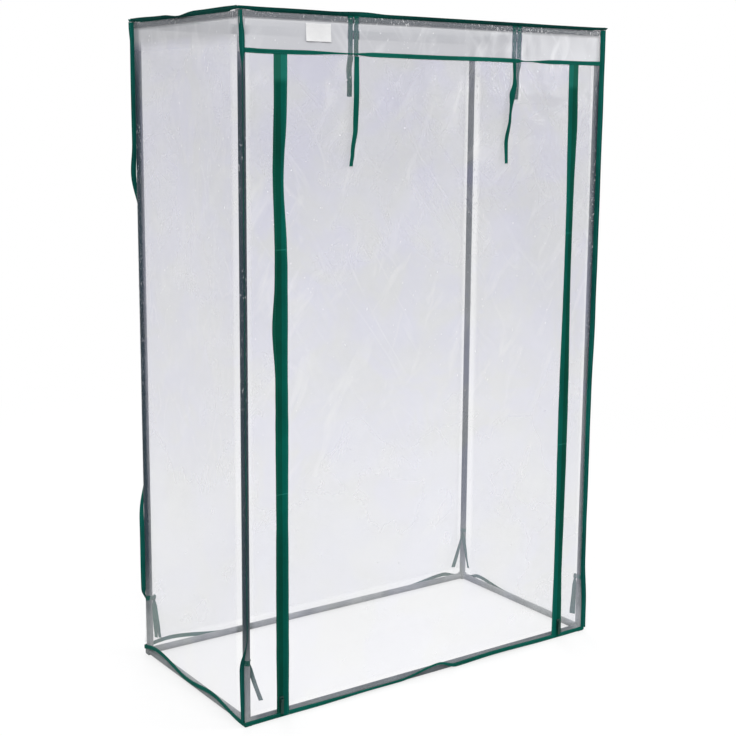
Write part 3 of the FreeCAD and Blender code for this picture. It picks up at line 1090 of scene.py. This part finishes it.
        def place(u: float, v: float) -> Vector:
            """Point of the tape.

            Args:
                u: share along it.
                v: share up it.

            Returns:
                The point at rest.
            """
            x = low.x + u * width
            draw, sink = self.shell.tuck(self.shell.x - abs(x), 1.0)
            dip = (0.0016 * wobble(x * 6.0, 3.3) - 0.0006) * smooth(min(u, 1 - u), 0, 0.05)
            rolled = sum(share * swell(x, a, peak, b) for a, peak, b, share in self.rolls)
            slim = (0.94 + 0.06 * wobble(x * 9, 8.1)) * (1 - rolled)
            z = centre + (v - 0.5) * tall * slim + dip
            proud = crown(v) + 0.0002 * wobble(x * 30, v)
            return Vector((x - math.copysign(draw, x), low.y - proud + sink, z))

        tape.lay((width, tall), (200, 6), place, TAPE_THICK, FRONT)
        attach(tape.piece(Slot.BINDING, [Finish.HEM], ["valance_binding"]), COVER)

    def label(self) -> None:
        """Build the blank label, sewn at its top and slightly lifted below."""
        low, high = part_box("blank_label")
        width, tall = high.x - low.x, high.z - low.z
        mesh = SheetMesh("blank_label_cloth")

        def place(u: float, v: float) -> Vector:
            """Point at shares along and up the label."""
            curl = 0.0018 * (1 - v) ** 2 + 0.0008 * (1 - v) * math.sin(2.6 * math.pi * u)
            return Vector((low.x + u * width, high.y - self.label_proud - curl, low.z + v * tall))

        mesh.lay((width, tall), (24, 16), place, self.label_thick, FRONT)
        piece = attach(mesh.piece(Slot.LABEL, [Finish.LABEL], ["blank_label"]), COVER)


@dataclass
class Door:
    """The zipped door: its film and zip halves, cut half way down each band.

    A stray is a sewn edge's place along X, a height, a reach and how far the edge leaves the coil there.
    """

    bands: int = 7
    soft: float = 0.022
    head: float = 0.0014
    under: float = 0.009
    proud: float = 0.0006
    most_forward: float = 0.0007
    in_hem: float = 0.005
    film_columns: int = 110
    film_cell: float = 0.0068
    hem_reach: float = 0.1
    hem_free: float = 0.09
    edge_free: float = 0.1
    fold_calm: Span = (0.006, 0.05)
    tie_calm: Span = (0.015, 0.06)
    tie_heights: Span = (1.12, 1.2)
    tooth_pitch: float = 0.003
    tooth_size: Triple = (0.0042, 0.0012, 0.0014)
    tooth_round: float = 0.0003
    tooth_back: float = 0.0006
    meeting_gap: float = 0.0007
    coil_gap: float = 0.0002
    coil_row: float = 0.0013
    coil_end: float = 0.004
    tape_over: float = 0.004
    creases: Creases = Creases(11.0, -0.0022, 0.0016, 0.0004, 0.6)
    slack: Slack = Slack(0.0, 0.0025, ((-0.085, 0.022, 0.08, 0.018), (0.05, 0.20, 0.39, 0.004)),
                         ((-0.36, -0.15, 0.10, 0.45), (-0.10, 0.02, 0.10, 0.35)))
    strays: tuple[Four, ...] = (
        (-0.384, 1.16, 0.10, -0.008), (-0.416, 1.17, 0.10, 0.005), (-0.416, 0.85, 0.07, 0.007),
        (0.416, 1.27, 0.06, 0.003), (0.416, 0.95, 0.22, -0.005), (0.384, 1.00, 0.26, -0.005),
        (0.416, 0.18, 0.12, -0.004), (0.384, 0.20, 0.12, -0.002))
    same_edge: float = 0.004

    def __post_init__(self) -> None:
        """Work out the fold heights, the cuts between them and where the ties hang."""
        pleats = (f"door_pleat_{k}" for k in range(2, self.bands + 1))
        self.hinges = [pivot(joint)[2] for joint in ("door_gather", *pleats)]
        self.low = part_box("door_hem")[0].z
        ends = [*self.hinges, self.low]
        self.cuts = [ends[0] + self.head, *((a + b) / 2 for a, b in zip(ends, ends[1:])), self.low]
        self.ties = [middle(f"{kind}_tie_{side.label}")[0] for side in Side for kind in ("outer", "inner")]
        self.plane = middle("door_film_1")[1]
        self.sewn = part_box("door_film_1")[1].x
        self.edge = self.sewn + self.under
        self.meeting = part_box("door_zip_edge_1")[1].x + self.meeting_gap

    def build(self) -> None:
        """Build the fixed and the moving zip halves, the film and the hem."""
        tooth = self.tooth()
        for side in Side:
            self.fixed_half(side, tooth)
        for index in range(self.bands + 1):
            film = self.film_piece(index)
            self.attach(film, index)
            self.attach(self.zip_piece(index, tooth), index)
        self.attach(self.hem_piece(), self.bands)

    def attach(self, piece: Piece, index: int) -> None:
        """Bake a piece's transform into its mesh, or let the last one ride on the last band.

        Args:
            piece: the piece to attach.
            index: which cut of the door it is, from the top.
        """
        if index == self.bands:
            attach(piece, f"door_band_{self.bands}")
            return
        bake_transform(piece)

    def film_low(self, index: int) -> float:
        """Lower edge of a film piece, inside the hem for the last one."""
        return self.low + self.in_hem if index == self.bands else self.cuts[index + 1]

    def film_piece(self, index: int) -> Piece:
        """One film piece of the door.

        Args:
            index: which cut of the door, from the top.

        Returns:
            The piece, not yet attached.
        """
        high, low = self.cuts[index], self.film_low(index)
        width, tall = 2 * self.edge, high - low

        def place(u: float, v: float) -> Vector:
            """Point of the film.

            Args:
                u: share across it.
                v: share up it.

            Returns:
                The point at rest.
            """
            x, z = (u - 0.5) * width, low + v * tall
            edge = min(self.edge - abs(x), self.cuts[0] - z)
            calm = 0.25 + 0.75 * smooth(min(abs(z - h) for h in self.hinges), *self.fold_calm)
            beside_tie = 1 - smooth(min(abs(x - t) for t in self.ties), *self.tie_calm)
            calm *= 1 - 0.8 * beside_tie * smooth(z, *self.tie_heights)
            shift = min(self.most_forward, self.creases.offset(x + 0.5, z, edge) * calm)
            free = smooth(edge, self.under, self.edge_free)
            shift += self.slack.kick(x) * (1 - smooth(z, 0.0, self.hem_reach)) * free
            lift = self.slack.rise(x) * (1 - smooth(z, 0.0, LIFT_REACH)) * free
            return Vector((x, self.plane - shift, z + lift))

        mesh = SheetMesh(f"door_sheet_{index + 1}")
        mesh.lay((width, tall), (self.film_columns, max(10, round(tall / self.film_cell))), place)
        nodes = [f"door_film_{index + 1}"] if index < self.bands else []
        return mesh.piece(Slot.FILM, [Finish.FILM], nodes)

    def hem_piece(self) -> Piece:
        """The door's hem, which follows the slack of the film.

        Returns:
            The piece, not yet attached.
        """
        low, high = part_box("door_hem")
        centre = middle("door_hem")[2]
        width, tall = high.x - low.x, high.z - low.z
        mesh = SheetMesh("door_hem_tape")

        def place(u: float, v: float) -> Vector:
            """Point of the hem.

            Args:
                u: share along it.
                v: share up it.

            Returns:
                The point at rest.
            """
            x = low.x + u * width
            free = smooth(min(u, 1 - u) * width, 0.0, self.hem_free)
            shift = self.slack.kick(x) * free + (HEM_PROUD + crown(v))
            z = centre + (v - 0.5) * tall * self.slack.width(x) + self.slack.rise(x) * free
            return Vector((x, self.plane - shift, z))

        mesh.lay((width, tall), (self.film_columns, 6), place, HEM_THICK, FRONT)
        return mesh.piece(Slot.BINDING, [Finish.HEM], ["door_hem"])

    def tooth(self) -> bpy.types.Mesh:
        """One tooth of the zip's coil, long across the tape.

        Returns:
            A small rounded mesh round its own origin, in the piece's second finish.
        """
        bm = bmesh.new()
        bmesh.ops.create_cube(bm, size=1.0)
        bmesh.ops.scale(bm, vec=Vector(self.tooth_size), verts=bm.verts[:])
        bmesh.ops.bevel(bm, geom=bm.edges[:], offset=self.tooth_round, offset_type="OFFSET", affect="EDGES",
                        segments=1, profile=0.5, material=-1)
        mesh = bpy.data.meshes.new("coil_tooth")
        bm.to_mesh(mesh)
        bm.free()
        for polygon in mesh.polygons:
            polygon.material_index = 1
        return mesh

    def ragged(self, outer: float, z: float) -> float:
        """How far a tape's sewn edge strays from straight.

        Args:
            outer: the edge's place along X.
            z: height on the tape.

        Returns:
            The distance away from the coil.
        """
        stray = 0.0016 * wobble(z * 4.0, outer * 3) + 0.0005 * wobble(z * 25, outer) - 0.0008
        for where, height, reach, amount in self.strays:
            if abs(where - outer) < self.same_edge:
                stray += amount * math.exp(-((z - height) / reach) ** 2)
        return stray

    def half_tape(self, mesh: SheetMesh, inner: float, outer: float, low: float, high: float) -> None:
        """Add one half of a zip's tape.

        Args:
            mesh: the mesh it joins.
            inner: its coil edge along X.
            outer: its sewn edge along X.
            low: lower end.
            high: upper end.
        """
        width, tall = abs(outer - inner), high - low

        def place(u: float, v: float) -> Vector:
            """Point of the tape.

            Args:
                u: share up it.
                v: share from its sewn edge to its coil.

            Returns:
                The point at rest.
            """
            z = low + u * tall
            stray = self.ragged(outer, z) * (1 - v) * math.copysign(1.0, outer - inner)
            dish = 0.00035 * math.sin(math.pi * v) * wobble(z * 13, outer * 7)
            return Vector((outer + (inner - outer) * v + stray, self.plane - self.proud - dish, z))

        mesh.lay((tall, width), (max(6, round(tall / TAPE_CELL)), 6), place, TAPE_THICK, FRONT)

    def coil(self, mesh: SheetMesh, tooth: bpy.types.Mesh, x: float, ends: Span, phase: float) -> None:
        """Add a row of coil teeth.

        Args:
            mesh: the mesh they join.
            tooth: the shape of one tooth.
            x: the row's middle.
            ends: lower and upper end.
            phase: share of a pitch by which the row is set off.
        """
        first = math.ceil(ends[0] / self.tooth_pitch - phase)
        last = math.floor(ends[1] / self.tooth_pitch - phase)
        heights = [(n + phase) * self.tooth_pitch for n in range(first, last)]
        mesh.stud(tooth, [Vector((x, self.plane + self.tooth_back, z)) for z in heights])

    def fixed_half(self, side: Side, tooth: bpy.types.Mesh) -> None:
        """Build the zip half that stays on the front panel.

        Args:
            side: which zip.
            tooth: the coil's tooth.
        """
        low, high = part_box(f"zip_tape_{side.label}")
        outer = max(low.x, high.x, key=abs)
        mesh = SheetMesh(f"zip_half_{side.label}")
        inner = side.value * (self.meeting + self.coil_gap)
        self.half_tape(mesh, inner, outer, low.z, high.z + self.tape_over)
        row = side.value * (self.meeting + self.coil_row)
        self.coil(mesh, tooth, row, (low.z + self.coil_end, high.z), 0.5)
        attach(mesh.piece(Slot.TAPE, [Finish.TAPE, Finish.COIL], [f"zip_tape_{side.label}"]), COVER)

    def zip_piece(self, index: int, tooth: bpy.types.Mesh) -> Piece:
        """Both moving zip halves of one cut of the door.

        Args:
            index: which cut, from the top.
            tooth: the coil's tooth.

        Returns:
            The piece, not yet attached.
        """
        high, low = self.cuts[index], self.cuts[index + 1]
        mesh = SheetMesh(f"door_zip_{index + 1}")
        for side in Side:
            s = side.value
            self.half_tape(mesh, s * (self.meeting - self.coil_gap), s * self.sewn, low, high)
            ends = (max(low, self.low + self.coil_end), high)
            self.coil(mesh, tooth, s * (self.meeting - self.coil_row), ends, 0.0)
        nodes = [f"door_zip_edge_{index + 1}"] if index < self.bands else []
        # The door halves take the copy of the tape that is painted lighter.
        return mesh.piece(Slot.TAPE, [Finish.DOOR_TAPE, Finish.COIL], nodes)


@dataclass(frozen=True)
class Ribbon:
    """A hanging length of tie ribbon that strays sideways, twists, gathers and cups along its length."""

    name: str
    top: Vector
    drop: float
    stand: float
    strays: Keys
    turns: Keys
    spreads: Keys = ((0.0, 1.0), (1.0, 1.0))
    width: float = 0.014
    thick: float = 0.0004
    cell: float = 0.004

    def place(self, u: float, v: float) -> Vector:
        """Point of the ribbon.

        Args:
            u: share down it.
            v: share across it.

        Returns:
            The point at rest.
        """
        turn, wide = trace(self.turns, u), self.width * trace(self.spreads, u)
        cup = 0.10 * wide * (1 - 4 * (v - 0.5) ** 2) * smooth(u, 0.05, 0.4)
        y = self.stand * smooth(u, 0.0, 0.35) + 0.001 * math.sin(7.0 * u) * math.copysign(u, self.stand)
        across = Vector((math.cos(turn), math.sin(turn), 0)) * ((v - 0.5) * wide)
        out = Vector((-math.sin(turn), math.cos(turn), 0)) * math.copysign(cup, self.stand)
        return self.top + Vector((trace(self.strays, u), y, -u * self.drop)) + across + out

    def piece(self, nodes: Sequence[str]) -> Piece:
        """Args:
            nodes: CAD nodes that it stands for.

        Returns:
            The piece, not yet attached.
        """
        mesh = SheetMesh(self.name)
        mesh.lay((self.drop, self.width), (max(10, round(self.drop / self.cell)), 6), self.place, self.thick)
        piece = mesh.piece(Slot.RIBBON, [Finish.RIBBON], nodes)
        return piece


@dataclass
class Ties:
    """Ribbon ties of the door, and the ties knotted round the four posts.

    A tail has how far its end strays along X and Y, and the direction across it. A hang has the strays,
    turns and spreads of an outer tie.
    """

    knot_height: float = 0.143
    knot_size: Triple = (0.0034, 0.0056, 0.0050)
    knot_stand: float = 0.0036
    knot_flat: Span = (0.03, 0.015)
    strap_size: Span = (0.0042, 0.0060)
    strap_width: float = 0.006
    strap_length: float = 0.032
    wrap_width: float = 0.012
    wrap_gap: float = 0.0001
    wrap_thick: float = 0.0004
    tail: float = 0.1
    tail_width: float = 0.010
    tail_stand: float = 0.0040
    thick: float = 0.0005
    root_width: float = 0.0115
    root_thick: float = 0.0003
    outer_gap: float = 0.0012
    outer_over: float = 0.003
    outer_stand: float = -0.0056
    outer_soft: float = 0.008
    inner_over: float = 0.001
    inner_stand: float = 0.006
    inner_soft: float = 0.014
    shown: float = 0.94
    tails: dict[tuple[int, int], tuple[Four, Four]] = field(default_factory=lambda: {
        (-1, -1): ((0.032, 0.001, 1.0, 0.0), (0.004, 0.006, 1.0, 0.3)),
        (1, -1): ((-0.0015, 0.0015, 0.8, -0.5), (-0.003, 0.006, 0.8, -0.6)),
        (-1, 1): ((0.002, -0.004, 0.8, -0.5), (0.009, -0.010, 0.8, -0.6)),
        (1, 1): ((-0.034, -0.002, 1.0, 0.0), (-0.002, -0.030, 0.4, -0.9)),
    })
    hangs: dict[Side, tuple[Keys, Keys, Keys]] = field(default_factory=lambda: {
        Side.LEFT: (((0.0, 0.0), (0.35, -0.004), (0.65, -0.0055), (0.88, -0.013), (1.0, -0.017)),
                    ((0.0, 0.0), (0.5, 0.05), (1.0, 0.35)), ((0.0, 0.85), (0.3, 1.0), (1.0, 0.9))),
        Side.RIGHT: (((0.0, 0.0), (0.2, -0.001), (0.33, -0.010), (0.55, -0.014), (0.8, -0.024),
                      (1.0, -0.023)),
                     ((0.0, 0.0), (0.12, 0.1), (0.3, -0.3), (0.5, 0.35), (0.75, 0.1), (1.0, 0.3)),
                     ((0.0, 0.7), (0.1, 0.6), (0.3, 1.0), (0.45, 0.8), (1.0, 0.9))),
    })

    def build(self) -> None:
        """Build every tie."""
        roots = SheetMesh("tie_root_ribbons")
        for side in Side:
            self.outer(side, roots)
            self.inner(side, roots)
        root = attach(roots.piece(Slot.RIBBON, [Finish.RIBBON], ["tie_roots"]), COVER)
        self.corner_ties()

    def root(self, mesh: SheetMesh, x: float) -> None:
        """Add the sewn length of a tie, behind the valance, to a mesh.

        Args:
            mesh: the mesh it joins.
            x: the tie's middle.
        """
        low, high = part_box("tie_roots")
        y = middle("tie_roots")[1]

        def place(u: float, v: float) -> Vector:
            """Point at shares down and across the sewn length."""
            return Vector((x + (v - 0.5) * self.root_width, y, high.z - u * (high.z - low.z)))

        mesh.lay((high.z - low.z, self.root_width), (18, 4), place, self.root_thick)

    def outer(self, side: Side, roots: SheetMesh) -> None:
        """Build the tie that hangs in front of the door.

        Args:
            side: which tie.
            roots: mesh of the sewn lengths.
        """
        upper, tail = f"outer_tie_{side.label}", f"outer_tie_tail_{side.label}"
        high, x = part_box(upper)[1], middle(upper)[0]
        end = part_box(tail)[0].z
        self.root(roots, x)
        top = Vector((x, high.y - self.outer_gap, high.z + self.outer_over))
        drop = self.shown * (top.z - end)
        piece = Ribbon(f"{upper}_ribbon", top, drop, self.outer_stand, *self.hangs[side]).piece([upper, tail])
        _, y, z = pivot(f"outer_tie_hang_{side.label}")
        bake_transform(piece)

    def inner(self, side: Side, roots: SheetMesh) -> None:
        """Build the tie that hangs behind the door.

        Args:
            side: which tie.
            roots: mesh of the sewn lengths.
        """
        node = f"inner_tie_{side.label}"
        low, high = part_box(node)
        x, y, _ = middle(node)
        self.root(roots, x)
        top = Vector((x, y, high.z + self.inner_over))
        strays, turns = ((0.0, 0.0), (1.0, side.value * -0.002)), ((0.0, 0.0), (1.0, -0.15 * side.value))
        piece = Ribbon(f"{node}_ribbon", top, top.z - low.z, self.inner_stand, strays, turns).piece([node])
        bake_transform(piece)

    def corner_ties(self) -> None:
        """Build the knotted ties that hold the cover to the posts."""
        mesh = SheetMesh("corner_tie_ribbons")
        low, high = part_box("post_lower_front_left")
        post_x, post_y, _ = (abs(v) for v in middle("post_lower_front_left"))
        radius = (high.x - low.x) / 2 + self.wrap_gap
        for index, (sx, sy) in enumerate(CORNERS):
            post = Vector((sx * post_x, sy * post_y, self.knot_height))
            inward = Vector((-sx, -sy, 0)).normalized()
            self.wrap(mesh, post, inward, radius, index)
            self.knot(mesh, post + inward * (radius + self.knot_stand), inward, index)
            for tail in self.tails[sx, sy]:
                self.hang(mesh, post + inward * (radius + self.tail_stand), tail, index)
        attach(mesh.piece(Slot.RIBBON, [Finish.RIBBON], ["corner_ties"]), COVER)

    def wrap(self, mesh: SheetMesh, post: Vector, inward: Vector, radius: float, index: int) -> None:
        """Add the turn of ribbon round a post, drawn together at the knot.

        Args:
            mesh: the mesh it joins.
            post: the post's axis at the tie.
            inward: direction of the knot.
            radius: inside radius of the turn.
            index: which corner.
        """
        start = math.atan2(inward.y, inward.x)

        def place(u: float, v: float) -> Vector:
            """Point of the turn.

            Args:
                u: share round the post.
                v: share up the ribbon.

            Returns:
                The point at rest.
            """
            angle = start + 2 * math.pi * u
            pinch = 0.45 + 0.55 * smooth(min(u, 1 - u), 0.0, 0.22)
            out = radius + 0.0006 * (1 - pinch) + 0.0002 * abs(wobble(u * 9, v * 2, index))
            height = (v - 0.5) * self.wrap_width * pinch + 0.0012 * math.sin(2 * math.pi * u + index)
            return post + Vector((math.cos(angle) * out, math.sin(angle) * out, height))

        mesh.lay((2 * math.pi * radius, self.wrap_width), (40, 6), place, self.wrap_thick)

    def knot(self, mesh: SheetMesh, centre: Vector, inward: Vector, index: int) -> None:
        """Add a small knot with a strap over it.

        Args:
            mesh: the mesh it joins.
            centre: the knot's middle.
            inward: direction away from the post.
            index: which corner.
        """
        side = Vector((-inward.y, inward.x, 0))
        deep, wide, tall = self.knot_size
        strap_deep, strap_tall = self.strap_size

        def lump(u: float, v: float) -> Vector:
            """Point of the knot's creased body.

            Args:
                u: share round it.
                v: share up it.

            Returns:
                The point at rest.
            """
            a, b = 2 * math.pi * u, math.pi * (v - 0.5)
            bulge = 1 + 0.12 * math.sin(3 * a + index) * math.cos(b)
            flat = Vector((math.cos(a), math.sin(a))) * math.cos(b) * bulge
            return centre + inward * (deep * flat.x) + side * (wide * flat.y) + UP * (tall * math.sin(b))

        def strap(u: float, v: float) -> Vector:
            """Point of the strap that goes over the knot.

            Args:
                u: share round the knot.
                v: share across the strap.

            Returns:
                The point at rest.
            """
            a = 2 * math.pi * u
            across = (v - 0.5) * self.strap_width * (1 + 0.2 * math.sin(2 * a))
            return (centre + inward * (strap_deep * math.cos(a)) + UP * (strap_tall * math.sin(a))
                    + side * (across + 0.0012 * math.sin(a)))

        mesh.lay(self.knot_flat, (24, 14), lump)
        mesh.lay((self.strap_length, self.strap_width), (30, 4), strap, self.thick)

    def hang(self, mesh: SheetMesh, knot: Vector, tail: Four, index: int) -> None:
        """Add one hanging tail below a knot.

        Args:
            mesh: the mesh it joins.
            knot: where the tail starts.
            tail: how far its end strays along X and Y, and the direction across it.
            index: which corner.
        """
        stray, wide = Vector((*tail[:2], 0)), Vector((*tail[2:], 0)).normalized()
        front = wide.cross(UP)

        def place(u: float, v: float) -> Vector:
            """Point of the tail.

            Args:
                u: share down it.
                v: share across it.

            Returns:
                The point at rest.
            """
            width = (v - 0.5) * self.tail_width * (0.45 + 0.55 * smooth(u, 0.0, 0.25))
            curl = 0.35 * smooth(u, 0.1, 1.0) + 0.3 * math.sin(6 * u + index)
            across = wide * math.cos(curl) + front * math.sin(curl)
            return knot + stray * u ** 1.2 + across * width - Vector((0, 0, u * self.tail))

        mesh.lay((self.tail, self.tail_width), (28, 4), place, self.thick)


@dataclass
class FrameDress:
    """Finishes for the CAD pieces whose shape stays: tubes, connectors, sliders and pulls."""

    kinds: dict[str, Finish] = field(default_factory=lambda: {
        "post_": Finish.TUBE, "top_rail": Finish.TUBE, "bottom_rail": Finish.TUBE,
        "top_corner": Finish.CONNECTOR, "bottom_corner": Finish.CONNECTOR,
        "zip_slider": Finish.SLIDER, "zip_pull": Finish.SLIDER,
    })

    def build(self) -> None:
        """Give each kept node its material."""
        for name, node in frame["nodes"].items():
            for start, finish in self.kinds.items():
                if name.startswith(start):
                    for slot in node.material_slots:
                        slot.material = finish.material
                    log.info("%s keeps its CAD shape", name)


@dataclass
class Studio:
    """Floor, light and camera. A lamp has its place, size and power."""

    azimuth: float = -34.973
    elevation: float = 9.460
    distance: float = 3.1997
    focal_px: float = 1339.3
    sensor: float = 36.0
    image_px: float = 736.0
    principal_y: float = 340.0
    target: Triple = (-0.0111, 0.0, 0.7610)
    roll: float = 0.393
    floor_half: float = 30.0
    floor_tone: float = 0.32
    floor_glow: float = 0.66
    floor_fade: Span = (1.2, 3.2)
    world_light: float = 0.75
    lit: Triple = (0, 0, 0.8)
    lamps: dict[str, tuple[Triple, float, float]] = field(default_factory=lambda: {
        "key": ((-2.6, -3.0, 3.2), 1.6, 100.0),
        "fill": ((3.2, -2.4, 2.2), 1.8, 45.0),
        "rim": ((1.2, 3.4, 3.0), 1.8, 40.0),
    })

    def build(self) -> None:
        """Build the whole studio."""
        bpy.context.scene.view_settings.view_transform = "Standard"
        self.floor()
        self.world()
        for name, lamp in self.lamps.items():
            self.lamp(name, *lamp)
        self.camera()

    def floor(self) -> None:
        """Lay the pale floor, which keeps the object's shadow."""
        bm = bmesh.new()
        bmesh.ops.create_grid(bm, x_segments=2, y_segments=2, size=self.floor_half)
        mesh = bpy.data.meshes.new("floor")
        bm.to_mesh(mesh)
        bm.free()
        g = Graph(bpy.data.materials.new("floor_white"))
        g.set(Roughness=0.9, Specular_IOR_Level=0.0, Emission_Color=(1, 1, 1))
        away = g.math("SQRT", g.math("ADD", g.times(g.x, g.x), g.times(g.y, g.y)))
        g.feed("Base Color", g.span(away, *self.floor_fade, self.floor_tone, 0.0))
        g.feed("Emission Strength", g.times(g.seen(), g.span(away, *self.floor_fade, self.floor_glow, 1.0)))
        mesh.materials.append(g.owner)
        floor = bpy.data.objects.new("floor", mesh)
        bpy.context.scene.collection.objects.link(floor)

    def world(self) -> None:
        """Light the scene softly from all round, white where it is seen."""
        g = Graph(bpy.data.worlds.new("studio"))
        g.set(Color=(1, 1, 1))
        g.feed("Strength", g.span(g.seen(), 0.0, 1.0, self.world_light, 1.0))
        bpy.context.scene.world = g.owner

    def lamp(self, name: str, place: Triple, size: float, power: float) -> None:
        """Hang a soft lamp.

        Args:
            name: the lamp's name.
            place: where it hangs.
            size: its width.
            power: its power in watts.
        """
        light = bpy.data.lights.new(name, "AREA")
        light.size = size
        light.energy = power
        lamp = bpy.data.objects.new(name, light)
        lamp.location = place
        lamp.rotation_euler = (Vector(self.lit) - lamp.location).to_track_quat("-Z", "Y").to_euler()
        bpy.context.scene.collection.objects.link(lamp)

    def camera(self) -> None:
        """Stand the camera where the photograph was taken from."""
        az, el, roll = (math.radians(v) for v in (self.azimuth, self.elevation, self.roll))
        back = Vector((math.sin(az) * math.cos(el), -math.cos(az) * math.cos(el), math.sin(el)))
        right = (-back).cross(UP).normalized()
        up = right.cross(-back)
        turned = right * math.cos(roll) + up * math.sin(roll)
        up = up * math.cos(roll) - right * math.sin(roll)
        lens = bpy.data.cameras.new("camera")
        lens.sensor_width = self.sensor
        lens.lens = self.focal_px * self.sensor / self.image_px
        lens.shift_y = (self.principal_y - self.image_px / 2) / self.image_px
        camera = bpy.data.objects.new("camera", lens)
        bpy.context.scene.collection.objects.link(camera)
        rows = Matrix((turned, up, back)).transposed().to_4x4()
        camera.matrix_world = Matrix.Translation(Vector(self.target) + back * self.distance) @ rows
        bpy.context.scene.camera = camera


def main() -> None:
    """Build the studio and the greenhouse piece by piece."""
    logging.basicConfig(level=logging.INFO, format="%(name)s %(message)s")
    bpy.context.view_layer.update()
    for part in (Studio(), FrameDress(), Cover(), Door(), Ties()):
        log.info("building %s", type(part).__name__)
        part.build()


if __name__ == "__main__":
    main()
